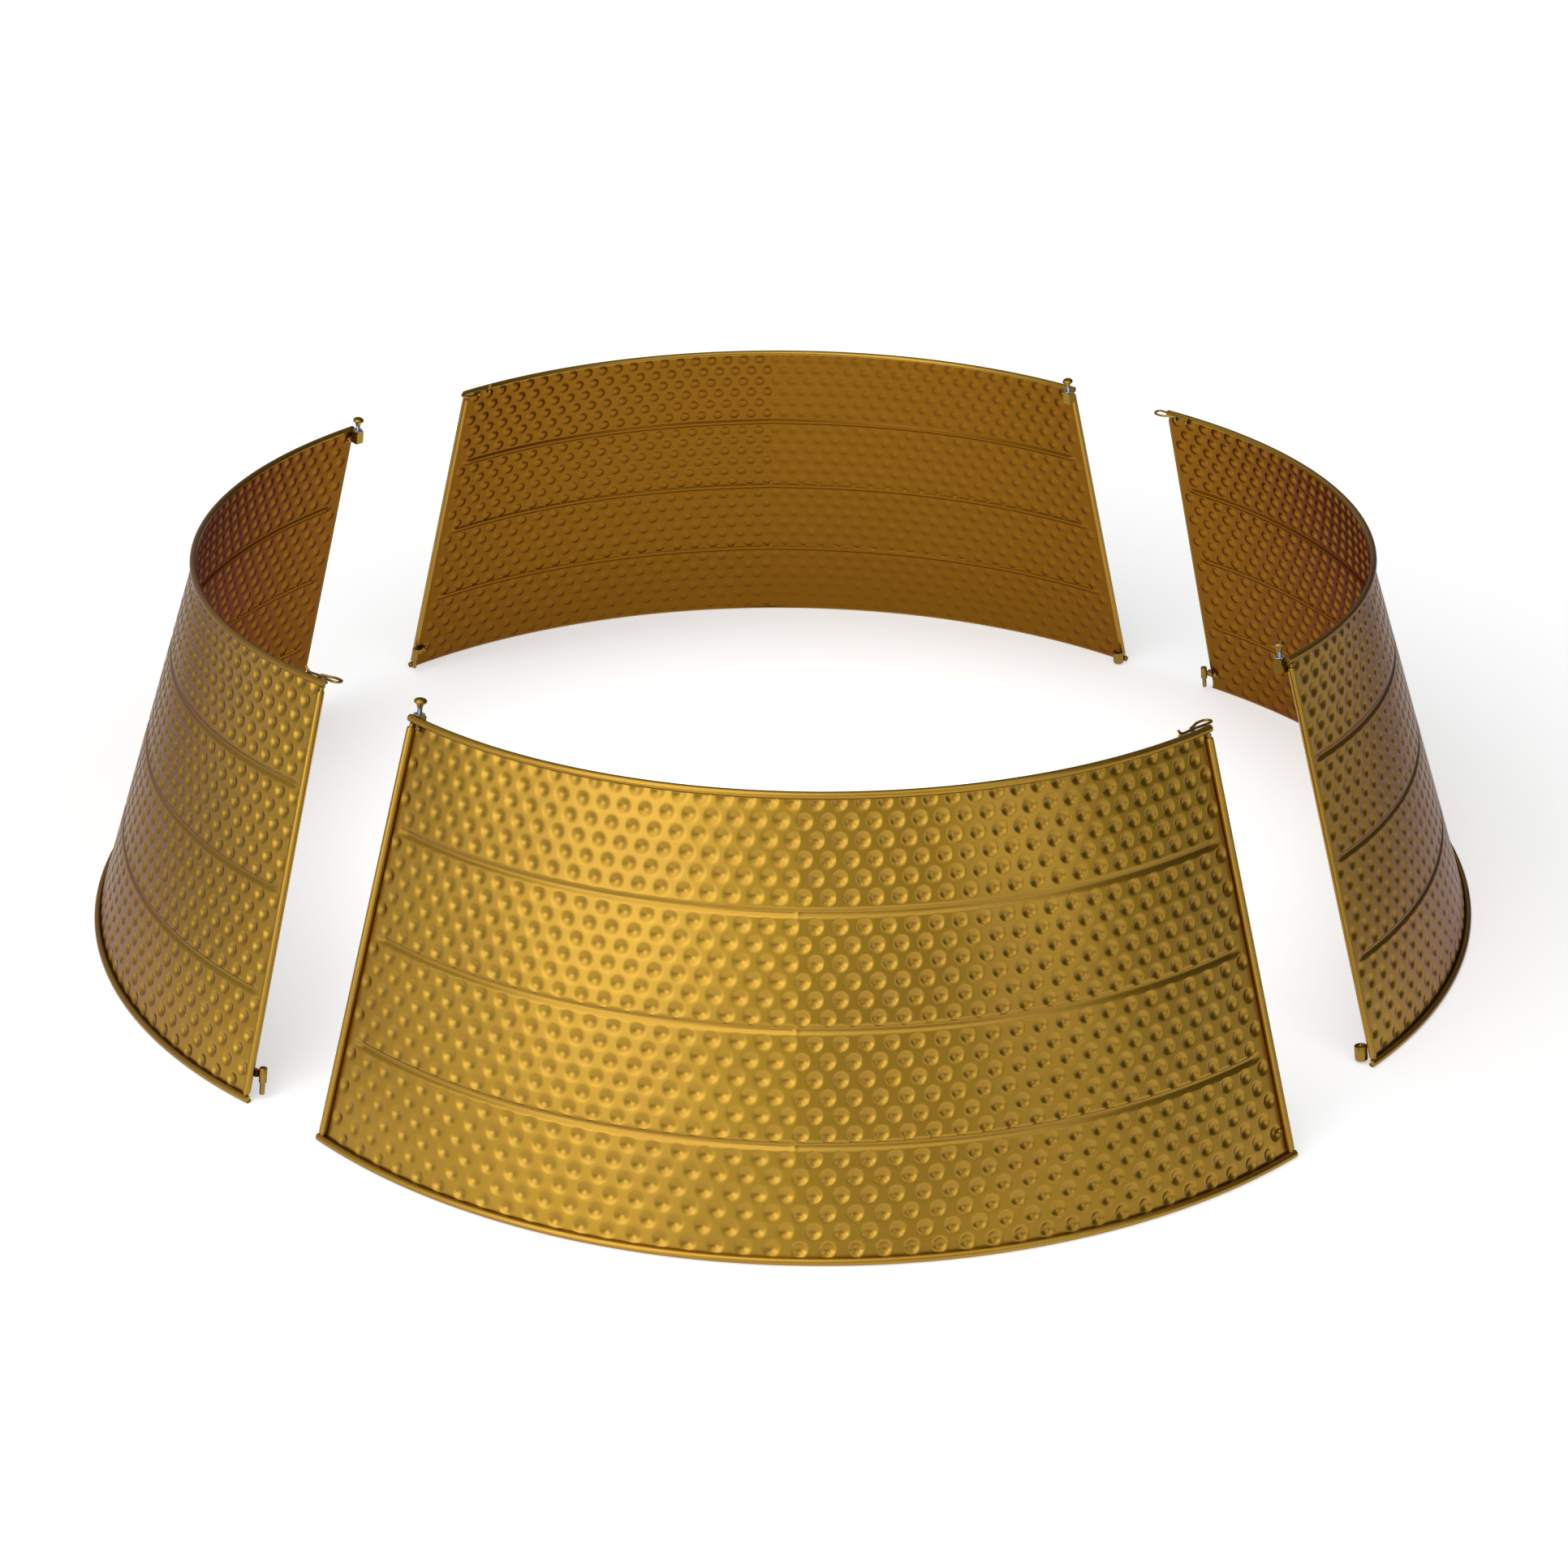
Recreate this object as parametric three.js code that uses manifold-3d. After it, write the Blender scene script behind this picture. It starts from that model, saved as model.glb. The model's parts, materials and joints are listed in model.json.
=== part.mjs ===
// Metal collar that hides a Christmas tree stand. It is a low cone of dimpled gold sheet
// in four quarter sections, shown pulled apart and standing on the floor. Seen from outside,
// each section carries a screw block and a socket at its left end, and an eye loop and a
// stepped pin at its right end, so that each end fits the next section's other end.
// Units are millimetres, Z is up, and the origin is the middle of the layout on the floor.
import * as THREE from 'three';
import { mergeVertices } from 'three/addons/utils/BufferGeometryUtils.js';
import Module from 'manifold-3d';

const wasm = await Module();
wasm.setup();

// The closed ring, measured over the beads at its two rims
const BASE_RADIUS = 381;
const TOP_RADIUS = 303;
const HEIGHT = 233;
// Gap between two neighbouring side beads at the top rim when the ring is closed
const EDGE_GAP = 0.8;

// Sheet, the wires that its edges are curled round, and the fit between pieces
const SHEET = 0.6;
const WIRE_D = 2.4;
const FIT = 0.3;
// The curl on a side edge is a little thicker with paint than the plain sheet
const CURL_EXTRA = 0.1;
// How far a curl wraps round its wire before it meets the sheet again
const CURL_SWEEP = THREE.MathUtils.degToRad(300);
// Half the angle of the small flat that the bottom bead stands on
const FOOT_ANGLE = THREE.MathUtils.degToRad(18);

// Pressed ribs: hollow outside, raised inside, and fading out before the side beads
const RIB_WIDTH = 4.4;
const RIB_DEPTH = 1.2;
const RIB_PLACE_SHARES = [0.25, 0.5, 0.75];
const RIB_FLOOR_SHARE = 0.4;
const RIB_END_LENGTH = 12;

// Open corners, where a side bead stops short of the rims and its wire shows
const TOP_NOTCH = 2.6;
const BOTTOM_NOTCH = 1.4;

// Lean from upright of the line that the fittings of a joint share. A section drops onto its
// neighbour along it.
const FITTING_LEAN = THREE.MathUtils.degToRad(10);
// How far inside the screw end's own edge that line runs
const AXIS_INSIDE = 0.8;

// Pin at the foot of the loop end, and the socket that it drops into
const PIN_D = 3.0;
const PIN_LENGTH = 7.8;
const PIN_PLAY = 0.4;
const LUG_D = 4.5;
const LUG_LENGTH = 8.8;
const LUG_CHAMFER = 0.75;
const PIN_TIP_SHARE = 0.5;
const SOCKET_WALL = 1.8;
const SOCKET_FLOOR = 1.1;
const SOCKET_LENGTH = 9.3;
const SOCKET_ROUND = 1.4;

// Screw, washer and block at the head of the screw end
const SCREW_D = 3.0;
const SCREW_LENGTH = 13;
const SCREW_RAISED = 6.2;
const SCREW_TIP_CHAMFER = 0.5;
const NECK_LENGTH = 2.6;
const NECK_D = 4.2;
const HEAD_D = 7.1;
const HEAD_HEIGHT = 2.6;
// Outline of the head from its underside to its crown, as shares of its radius and height
const HEAD_SHARES = [[0.92, 0], [1, 0.25], [0.92, 0.6], [0.71, 0.86], [0.38, 1], [0, 1]];
const WASHER_D = 6.4;
const WASHER_THICK = 0.6;
const BLOCK_WALL = 1.0;
const BLOCK_HEIGHT = 8.4;
const BLOCK_BELOW_RIM = 2.2;

// Eye loop of bent wire at the head of the loop end
const EYE_WIRE_D = 1.5;
const EYE_TIP = 5.2;
const EYE_SLOT = 4.2;
const EYE_LEG = 20.5;
const EYE_UPTURN = 2.2;
const WELD_D = 2.6;
const WELD_HEIGHT = 5.2;
const WELD_PLACES = [9.3, 18.6];

// Straps and rivets that hold the block and the pin to the sheet
const RIVET_D = 1.9;
const RIVET_DOME_D = 3.8;
const RIVET_DOME_HEIGHT = 1.5;
// Outline of the dome from its foot to its crown, as shares of its radius and height
const RIVET_DOME_SHARES = [[1, 0], [0.92, 0.71], [0.45, 0.92], [0, 1]];
// Outline of the upset head on the other side, as a share of its radius at its face
const RIVET_OUTER_SHARE = 0.7;
const RIVET_OUTER_D = 3.0;
const RIVET_OUTER_HEIGHT = 0.6;
const RIVET_MARGIN = 0.6;
const STRAP_HEIGHT = 4.0;
const STRAP_THICK = 1.5;
const STRAP_MARGIN = 0.7;

// Overrun of a cut past the face that it cuts, and overlap of two pieces that are joined
const OVERRUN = 4;
const JOIN = 0.8;
// Points of a mesh that are nearer than this are one point, and angles too
const SAME_POINT = 1e-4;
const SAME_ANGLE = 1e-6;

// Faces round each kind of curved form
const ARC_STEPS = 12;
const CURL_STEPS = 6;
const WIRE_SIDES = 6;
const ROUND_SIDES = 12;
const RIVET_SIDES = 8;
const EYE_SIDES = 6;
const EYE_STEPS = 26;
const BEND_STEPS = 6;
const WELD_RINGS = 4;

// Where each section stands in the pulled-apart layout: the direction that it faces, how far
// its cone axis is from the ring's middle in shares of the base radius, and how far it is
// turned from square
const SECTIONS = [
  { name: 'front', faces: -90, awayShares: [0.044, -0.187], turned: -2.3 },
  { name: 'right', faces: 0, awayShares: [0.147, 0.005], turned: 1.8 },
  { name: 'back', faces: 90, awayShares: [-0.017, 0.145], turned: 0.8 },
  { name: 'left', faces: 180, awayShares: [-0.159, -0.004], turned: 4.8 },
];

// Materials, by what the real pieces are finished with
const goldSheet = new THREE.MeshStandardMaterial({ color: 0xc79a35, metalness: 0.9, roughness: 0.38 });
const goldFitting = new THREE.MeshStandardMaterial({ color: 0xb98a2c, metalness: 0.9, roughness: 0.32 });
const steelWire = new THREE.MeshStandardMaterial({ color: 0xa98032, metalness: 0.9, roughness: 0.4 });
const bareSteel = new THREE.MeshStandardMaterial({ color: 0xc9c9cc, metalness: 1.0, roughness: 0.25 });

// Section through a rim: the wires' centres, the slope between them and its outward normal
const wireR = WIRE_D / 2;
const curlInnerR = wireR + FIT;
const beadR = curlInnerR + SHEET;
const beadOut = beadR - SHEET / 2;
const bottomWire = new THREE.Vector2(BASE_RADIUS - beadR, beadR * Math.cos(FOOT_ANGLE));
const topWire = new THREE.Vector2(TOP_RADIUS - beadR, HEIGHT - beadR);
const up = topWire.clone().sub(bottomWire).normalize();
const out = new THREE.Vector2(up.y, -up.x);
const slantLength = topWire.distanceTo(bottomWire);

// Point in the (radius, height) plane that lies s up the slope from the bottom wire and
// d outward from the middle of the sheet
function onSlope(s, d) {
  return bottomWire.clone().addScaledVector(up, s).addScaledVector(out, d - beadOut);
}

// Distance up the slope at which a point set inward by y has height z
function slopeAtHeight(z, y) {
  return (z - onSlope(0, -y).y) / up.y;
}

// Half the angle between two neighbouring sections' sheet ends, and the angle of a sheet end
const topSheetRadius = onSlope(slantLength, 0).x;
const halfGapAngle = Math.asin((beadR + EDGE_GAP / 2) / topSheetRadius);
const quarter = Math.PI / 4;
const endAngle = quarter - halfGapAngle;

// The upper fittings are as far in as a block that just clears the sheet, and the lower ones
// as far in as a socket that does. Where the line leans more than the sheet, it is their top
// that comes near the sheet, and otherwise their foot.
const tip = Math.atan2(-up.x, up.y) - FITTING_LEAN;
function inset(halfWidth, length) {
  return SHEET / 2 + FIT + halfWidth * Math.cos(tip) + length * Math.sin(Math.max(0, -tip));
}
const blockWidth = SCREW_D + 2 * FIT + 2 * BLOCK_WALL;
const blockInset = inset(blockWidth / 2, BLOCK_HEIGHT);
const blockTop = slopeAtHeight(HEIGHT - BLOCK_BELOW_RIM, blockInset);
const socketR = PIN_D / 2 + PIN_PLAY + SOCKET_WALL;
const socketInset = inset(socketR, SOCKET_LENGTH);
const socketRise = SOCKET_LENGTH * Math.cos(FITTING_LEAN) + socketR * Math.sin(FITTING_LEAN);
const socketTop = slopeAtHeight(FIT + socketRise, socketInset);

// Distance along the rim from a sheet end out to the line, at either end of a section
const axisOnScrewEnd = beadR - AXIS_INSIDE;
function axisOnLoopEnd(s, y) {
  return 2 * onSlope(s, -y).x * Math.tan(halfGapAngle) - axisOnScrewEnd;
}

// Places of the rivets, and the middle of the lug that the pin's strap reaches
const rivetIn = beadR + RIVET_OUTER_D / 2 + RIVET_MARGIN;
const blockRivetLevel = slantLength - beadR - RIVET_OUTER_D / 2 - RIVET_MARGIN;
const lugMiddle = FIT + LUG_LENGTH / 2;
const strapFace = SHEET / 2 + FIT + STRAP_THICK;

// A closed mesh made from three.js geometry as a solid that can be joined or cut
function toSolid(geometry) {
  const bare = geometry.clone();
  bare.deleteAttribute('normal');
  bare.deleteAttribute('uv');
  const merged = mergeVertices(bare, SAME_POINT);
  return new wasm.Manifold(new wasm.Mesh({
    numProp: 3,
    vertProperties: new Float32Array(merged.attributes.position.array),
    triVerts: new Uint32Array(merged.index.array),
  }));
}

// The geometry of such a solid
function toGeometry(solid) {
  const mesh = solid.getMesh();
  const geometry = new THREE.BufferGeometry();
  geometry.setAttribute('position', new THREE.BufferAttribute(new Float32Array(mesh.vertProperties), 3));
  geometry.setIndex(new THREE.BufferAttribute(new Uint32Array(mesh.triVerts), 1));
  return geometry;
}

// Sweeps a closed outline round the Z axis through a list of angles. outlineAt gives the
// outline for an angle as anticlockwise points in the (radius, height) plane, out along one
// side of the section and back along the other, so that the end faces are strips between them.
function sweepRound(angles, outlineAt) {
  const outlines = angles.map(outlineAt);
  const count = outlines[0].length;
  const positions = [];
  outlines.forEach((outline, k) => {
    const angle = angles[k];
    for (const p of outline) {
      positions.push(p.x * Math.cos(angle), p.x * Math.sin(angle), p.y);
    }
  });
  const faces = [];
  for (let k = 0; k < angles.length - 1; k++) {
    for (let i = 0; i < count; i++) {
      const a = k * count + i;
      const b = k * count + (i + 1) % count;
      const c = b + count;
      const d = a + count;
      faces.push(a, d, c, a, c, b);
    }
  }
  const last = (angles.length - 1) * count;
  for (let i = 0; i < count / 2 - 1; i++) {
    const j = count - 1 - i;
    faces.push(i, i + 1, j - 1, i, j - 1, j);
    faces.push(last + i, last + j - 1, last + i + 1, last + i, last + j, last + j - 1);
  }
  const geometry = new THREE.BufferGeometry();
  geometry.setAttribute('position', new THREE.Float32BufferAttribute(positions, 3));
  geometry.setIndex(faces);
  return geometry;
}

// Solid of revolution about Z from (radius, height) points listed from the bottom up
function revolve(points, sides) {
  const profile = points.map(([r, z]) => new THREE.Vector2(r, z));
  return new THREE.LatheGeometry(profile, sides).rotateX(Math.PI / 2);
}

// Box between two corners
function boxBetween(low, high) {
  const size = new THREE.Vector3(...high).sub(new THREE.Vector3(...low));
  const middle = new THREE.Vector3(...low).addScaledVector(size, 0.5);
  return new THREE.BoxGeometry(size.x, size.y, size.z).translate(middle.x, middle.y, middle.z);
}

// Frame at a sheet end: x runs along the rim anticlockwise, y inward, z up the slope, and
// the origin is in the middle of the sheet beside the bottom wire
function endFrame(side) {
  const angle = side * endAngle;
  const radial = new THREE.Vector3(Math.cos(angle), Math.sin(angle), 0);
  const vertical = new THREE.Vector3(0, 0, 1);
  const x = new THREE.Vector3(-Math.sin(angle), Math.cos(angle), 0);
  const y = radial.clone().multiplyScalar(-out.x).addScaledVector(vertical, -out.y);
  const z = radial.clone().multiplyScalar(up.x).addScaledVector(vertical, up.y);
  const foot = onSlope(0, 0);
  const origin = radial.clone().multiplyScalar(foot.x).addScaledVector(vertical, foot.y);
  return new THREE.Matrix4().makeBasis(x, y, z).setPosition(origin);
}
const LOOP_END = 1;
const SCREW_END = -1;
const frames = { [LOOP_END]: endFrame(LOOP_END), [SCREW_END]: endFrame(SCREW_END) };

// Seat of a fitting in its end frame: its own z axis is the line that the joint shares
function seat(x, y, s) {
  return new THREE.Matrix4().makeRotationX(tip).setPosition(x, y, s);
}
const blockSeat = seat(-axisOnScrewEnd, blockInset, blockTop);
const eyeSeat = seat(axisOnLoopEnd(blockTop, blockInset), blockInset, blockTop);
const socketSeat = seat(-axisOnScrewEnd, socketInset, socketTop);
const pinSeat = seat(axisOnLoopEnd(socketTop, socketInset), socketInset, socketTop);

// Level of a place on a seat's line, measured up the slope
function levelOn(seatMatrix, z) {
  return new THREE.Vector3(0, 0, z).applyMatrix4(seatMatrix).z;
}
const pinRivetLevel = levelOn(pinSeat, lugMiddle);

// Angles at which the curved pieces have a section, with straight runs out to the ends
const runOutAngle = endAngle - RIB_END_LENGTH / topSheetRadius;
function stationAngles(reach) {
  const angles = [-reach];
  for (let i = 0; i <= ARC_STEPS; i++) {
    angles.push(runOutAngle * (2 * i / ARC_STEPS - 1));
  }
  angles.push(reach);
  return angles;
}

// Points round a wire, from the sheet side towards one rim and on round the wire
function curlPoints(centre, towards, radius, turns) {
  return turns.map((turn) => centre.clone()
    .addScaledVector(out, -radius * Math.cos(turn))
    .addScaledVector(up, towards * radius * Math.sin(turn)));
}

// Turns of a curl in even steps, and those of the bottom curl with its flat foot
function evenTurns(from, steps) {
  const turns = [];
  for (let i = 0; i <= steps; i++) {
    turns.push(from + (CURL_SWEEP - from) * i / steps);
  }
  return turns;
}
const straightDown = Math.acos(out.y);
const footStart = straightDown - FOOT_ANGLE;
const footEnd = straightDown + FOOT_ANGLE;
const topTurns = evenTurns(0, CURL_STEPS);
const bottomTurns = [0, footStart / 2, footStart, ...evenTurns(footEnd, CURL_STEPS - 2)];

// One face of the sheet from bottom to top, with its ribs pushed inward by depth
function ribbedFace(d, depth) {
  const points = [];
  for (const share of RIB_PLACE_SHARES) {
    const middle = slantLength * share;
    const floor = RIB_WIDTH * RIB_FLOOR_SHARE / 2;
    points.push(onSlope(middle - RIB_WIDTH / 2, d));
    points.push(onSlope(middle - floor, d - depth));
    points.push(onSlope(middle + floor, d - depth));
    points.push(onSlope(middle + RIB_WIDTH / 2, d));
  }
  return points;
}

// Outline of the sheet with both rims curled outward round their wires
function sheetOutline(angle) {
  const depth = Math.abs(angle) > runOutAngle + SAME_ANGLE ? 0 : RIB_DEPTH;
  return [
    ...curlPoints(bottomWire, -1, curlInnerR, bottomTurns).reverse(),
    ...ribbedFace(SHEET / 2, depth),
    ...curlPoints(topWire, 1, curlInnerR, topTurns),
    ...curlPoints(topWire, 1, beadR, topTurns).reverse(),
    ...ribbedFace(-SHEET / 2, depth).reverse(),
    ...curlPoints(bottomWire, -1, beadR, bottomTurns),
  ];
}

// Curl of a side edge, drawn across the edge: it starts inside the sheet and wraps outward
function sideCurl(side) {
  const thick = SHEET + CURL_EXTRA;
  const innerR = beadOut - thick / 2;
  const outerR = beadOut + thick / 2;
  const turns = evenTurns(0, CURL_STEPS);
  const ring = (radius) => turns.map((turn) => new THREE.Vector2(
    side * radius * Math.sin(turn),
    -beadOut + radius * Math.cos(turn),
  ));
  const tongue = -side * JOIN;
  const points = [
    new THREE.Vector2(tongue, thick / 2),
    ...ring(outerR),
    ...ring(innerR).reverse(),
    new THREE.Vector2(tongue, -thick / 2),
  ];
  const low = beadR + BOTTOM_NOTCH;
  const high = slantLength - beadR - TOP_NOTCH;
  const shape = new THREE.Shape(points);
  return new THREE.ExtrudeGeometry(shape, { depth: high - low, bevelEnabled: false })
    .translate(0, 0, low);
}

// Hole through the sheet for a rivet
function rivetHole(x, level) {
  const length = 2 * OVERRUN;
  return new THREE.CylinderGeometry(RIVET_D / 2 + FIT, RIVET_D / 2 + FIT, length, RIVET_SIDES)
    .translate(x, 0, level);
}

// Sheet of one section: swept band, opened beside the side edges, with the side curls on
function sheet() {
  const reach = endAngle + Math.asin(beadR / topSheetRadius);
  let solid = toSolid(sweepRound(stationAngles(reach), sheetOutline));
  for (const side of [LOOP_END, SCREW_END]) {
    const outward = side * 2 * OVERRUN;
    const from = [Math.min(0, outward), -OVERRUN, beadR];
    const to = [Math.max(0, outward), OVERRUN, slantLength - beadR];
    const opening = boxBetween(from, to);
    solid = solid.subtract(toSolid(opening.applyMatrix4(frames[side])));
    solid = solid.add(toSolid(sideCurl(side).applyMatrix4(frames[side])));
  }
  const pinHole = rivetHole(-rivetIn, pinRivetLevel).applyMatrix4(frames[LOOP_END]);
  const blockHole = rivetHole(rivetIn, blockRivetLevel).applyMatrix4(frames[SCREW_END]);
  return toGeometry(solid.subtract(toSolid(pinHole)).subtract(toSolid(blockHole)));
}

// Wire inside a rim, a faceted round that follows the same angles as the sheet
function rimWire(centre) {
  const reach = endAngle + Math.asin(beadR / topSheetRadius) - FIT / topSheetRadius;
  return sweepRound(stationAngles(reach), () => {
    const points = [];
    for (let i = 0; i < WIRE_SIDES; i++) {
      const turn = 2 * Math.PI * i / WIRE_SIDES;
      points.push(new THREE.Vector2(wireR * Math.cos(turn), wireR * Math.sin(turn)).add(centre));
    }
    return points;
  });
}

// Straight wire inside a side curl, from rim bead to rim bead
function sideWire() {
  const low = beadR + FIT;
  const high = slantLength - beadR - FIT;
  return new THREE.CylinderGeometry(wireR, wireR, high - low, WIRE_SIDES)
    .rotateX(Math.PI / 2)
    .translate(0, -beadOut, (low + high) / 2);
}

// Tapped block with its bore along the line, and a foot that is riveted to the sheet
function screwBlock() {
  const half = blockWidth / 2;
  const halfFoot = STRAP_HEIGHT / 2;
  const body = boxBetween([-half, -half, -BLOCK_HEIGHT], [half, half, 0]).applyMatrix4(blockSeat);
  const low = blockRivetLevel - halfFoot;
  const high = blockRivetLevel + halfFoot;
  const face = SHEET / 2 + FIT;
  const foot = boxBetween(
    [-axisOnScrewEnd, face, low],
    [rivetIn + RIVET_DOME_D / 2 + STRAP_MARGIN, strapFace, high],
  );
  // The foot grows out of the block's own width and reaches its middle
  const middle = blockInset + (blockTop - blockRivetLevel) * Math.tan(tip);
  const root = boxBetween([-axisOnScrewEnd - half, face, low], [-axisOnScrewEnd + half, middle, high]);
  const boreR = SCREW_D / 2 + FIT;
  const bore = new THREE.CylinderGeometry(boreR, boreR, BLOCK_HEIGHT + 2 * OVERRUN, ROUND_SIDES)
    .rotateX(Math.PI / 2)
    .translate(0, 0, -BLOCK_HEIGHT / 2)
    .applyMatrix4(blockSeat);
  return toGeometry(toSolid(body)
    .add(toSolid(foot))
    .add(toSolid(root))
    .subtract(toSolid(bore))
    .subtract(toSolid(rivetHole(rivetIn, blockRivetLevel))));
}

// Rivet along y: upset head outside the sheet, stem, and a domed head on the foot or strap
function rivet(x, level) {
  const outerFace = -SHEET / 2 - FIT;
  const domeFace = strapFace + FIT;
  const domeR = RIVET_DOME_D / 2;
  const profile = [
    [0, outerFace - RIVET_OUTER_HEIGHT],
    [RIVET_OUTER_D / 2 * RIVET_OUTER_SHARE, outerFace - RIVET_OUTER_HEIGHT],
    [RIVET_OUTER_D / 2, outerFace],
    [RIVET_D / 2, outerFace],
    [RIVET_D / 2, domeFace],
    ...RIVET_DOME_SHARES.map(([across, along]) => [domeR * across, domeFace + RIVET_DOME_HEIGHT * along]),
  ];
  return revolve(profile, RIVET_SIDES).rotateX(-Math.PI / 2).translate(x, 0, level);
}

// Plain washer that lies on the block
function washer() {
  const low = FIT;
  const high = low + WASHER_THICK;
  const boreR = SCREW_D / 2 + FIT;
  const profile = [[boreR, low], [WASHER_D / 2, low], [WASHER_D / 2, high], [boreR, high], [boreR, low]];
  return revolve(profile, ROUND_SIDES).applyMatrix4(blockSeat);
}

// Screw heights above the block: the head stands raised over the washer
const headFoot = FIT + WASHER_THICK + SCREW_RAISED;
const neckFoot = headFoot - NECK_LENGTH;

// Pan head with the painted top of the thread under it
function screwHead() {
  const r = HEAD_D / 2;
  const profile = [
    [0, neckFoot],
    [SCREW_D / 2, neckFoot],
    [NECK_D / 2, headFoot],
    [r * HEAD_SHARES[0][0], headFoot],
    ...HEAD_SHARES.map(([across, along]) => [r * across, headFoot + HEAD_HEIGHT * along]).slice(1),
  ];
  return revolve(profile, ROUND_SIDES).applyMatrix4(blockSeat);
}

// Bare steel shank, which reaches from the painted neck down into the block
function screwShank() {
  const r = SCREW_D / 2;
  const top = neckFoot - FIT;
  const foot = headFoot - SCREW_LENGTH;
  const profile = [
    [0, foot],
    [r - SCREW_TIP_CHAMFER, foot],
    [r, foot + SCREW_TIP_CHAMFER],
    [r, top],
    [0, top],
  ];
  return revolve(profile, ROUND_SIDES).applyMatrix4(blockSeat);
}

// Bent wire eye. From its inner weld the wire swings in and round the line, comes back over
// the corner, runs along the sheet past the inner weld to an outer one, and turns up.
function eyeLoop() {
  const r = EYE_WIRE_D / 2;
  const level = FIT + r;
  const halfSlot = EYE_SLOT / 2 + r;
  const bendX = EYE_TIP - r - halfSlot;
  const ownEdge = -axisOnLoopEnd(blockTop, blockInset);
  const sheetY = (SHEET / 2 - blockInset + level * Math.sin(tip)) / Math.cos(tip);
  // Inner face of the curved sheet, in the seat's own measures
  const besideSheet = (x) => sheetY + FIT + (x - ownEdge) ** 2 / (2 * topSheetRadius);
  const weldXs = WELD_PLACES.map((place) => ownEdge + beadR - place);
  const legEnd = ownEdge + beadR - EYE_LEG;
  const points = [
    [weldXs[0], besideSheet(weldXs[0]) + r + EYE_WIRE_D + FIT, level],
    [(weldXs[0] - halfSlot) / 2, (besideSheet(weldXs[0]) + r + EYE_WIRE_D + halfSlot) / 2, level],
    [-halfSlot, halfSlot, level],
  ];
  for (let i = 0; i <= BEND_STEPS; i++) {
    const turn = Math.PI * (0.5 - i / BEND_STEPS);
    points.push([bendX + halfSlot * Math.cos(turn), halfSlot * Math.sin(turn), level]);
  }
  points.push([ownEdge, besideSheet(ownEdge), level]);
  points.push([weldXs[0], besideSheet(weldXs[0]) + r, level]);
  points.push([legEnd + EYE_UPTURN, besideSheet(legEnd) + r, level]);
  points.push([legEnd, besideSheet(legEnd) + r, level + EYE_UPTURN]);
  const path = new THREE.CatmullRomCurve3(points.map((p) => new THREE.Vector3(...p)));
  const section = new THREE.Shape();
  section.absarc(0, 0, r, 0, 2 * Math.PI);
  const corners = section.getSpacedPoints(EYE_SIDES).slice(0, EYE_SIDES);
  const wire = new THREE.ExtrudeGeometry(new THREE.Shape(corners), { steps: EYE_STEPS, extrudePath: path });
  let solid = toSolid(wire);
  for (const x of weldXs) {
    const weld = new THREE.SphereGeometry(WELD_D / 2, RIVET_SIDES, WELD_RINGS)
      .scale(1, 1, WELD_HEIGHT / WELD_D)
      .translate(x, besideSheet(x - WELD_D / 2) + WELD_D / 2, level + r - WELD_HEIGHT / 2);
    solid = solid.add(toSolid(weld));
  }
  return toGeometry(solid).applyMatrix4(eyeSeat);
}

// Stepped pin: a lug with a thinner pin under it that points down the line
function pin() {
  const r = PIN_D / 2;
  const lugR = LUG_D / 2;
  const foot = FIT - PIN_LENGTH;
  const top = FIT + LUG_LENGTH;
  const profile = [
    [0, foot],
    [r * PIN_TIP_SHARE, foot],
    [r, foot + r * PIN_TIP_SHARE],
    [r, FIT - LUG_CHAMFER],
    [lugR, FIT],
    [lugR, top - LUG_CHAMFER / 2],
    [lugR - LUG_CHAMFER / 2, top],
    [0, top],
  ];
  return revolve(profile, ROUND_SIDES).applyMatrix4(pinSeat);
}

// Strap that is riveted to the sheet, with a thick arm that reaches the side of the lug
function pinStrap() {
  const lug = new THREE.Vector3(0, 0, lugMiddle).applyMatrix4(pinSeat);
  const low = pinRivetLevel - STRAP_HEIGHT / 2;
  const high = pinRivetLevel + STRAP_HEIGHT / 2;
  const face = SHEET / 2 + FIT;
  const tail = -rivetIn - RIVET_DOME_D / 2 - STRAP_MARGIN;
  const armFoot = -rivetIn + RIVET_DOME_D / 2 + FIT;
  const armEnd = lug.x - LUG_D / 2 - FIT;
  const strap = boxBetween([tail, face, low], [armEnd, strapFace, high]);
  const arm = boxBetween([armFoot, face, low], [armEnd, lug.y, high]);
  return toGeometry(toSolid(strap)
    .add(toSolid(arm))
    .subtract(toSolid(rivetHole(-rivetIn, pinRivetLevel))));
}

// Round cup that the next section's pin drops into
function socket() {
  const boreR = PIN_D / 2 + PIN_PLAY;
  const foot = -SOCKET_LENGTH;
  const eased = SOCKET_ROUND * (1 - Math.SQRT1_2);
  const profile = [
    [0, foot],
    [socketR - SOCKET_ROUND, foot],
    [socketR - eased, foot + eased],
    [socketR, foot + SOCKET_ROUND],
    [socketR, 0],
    [boreR, 0],
    [boreR, foot + SOCKET_FLOOR],
    [0, foot + SOCKET_FLOOR],
  ];
  return revolve(profile, ROUND_SIDES).applyMatrix4(socketSeat);
}

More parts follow.
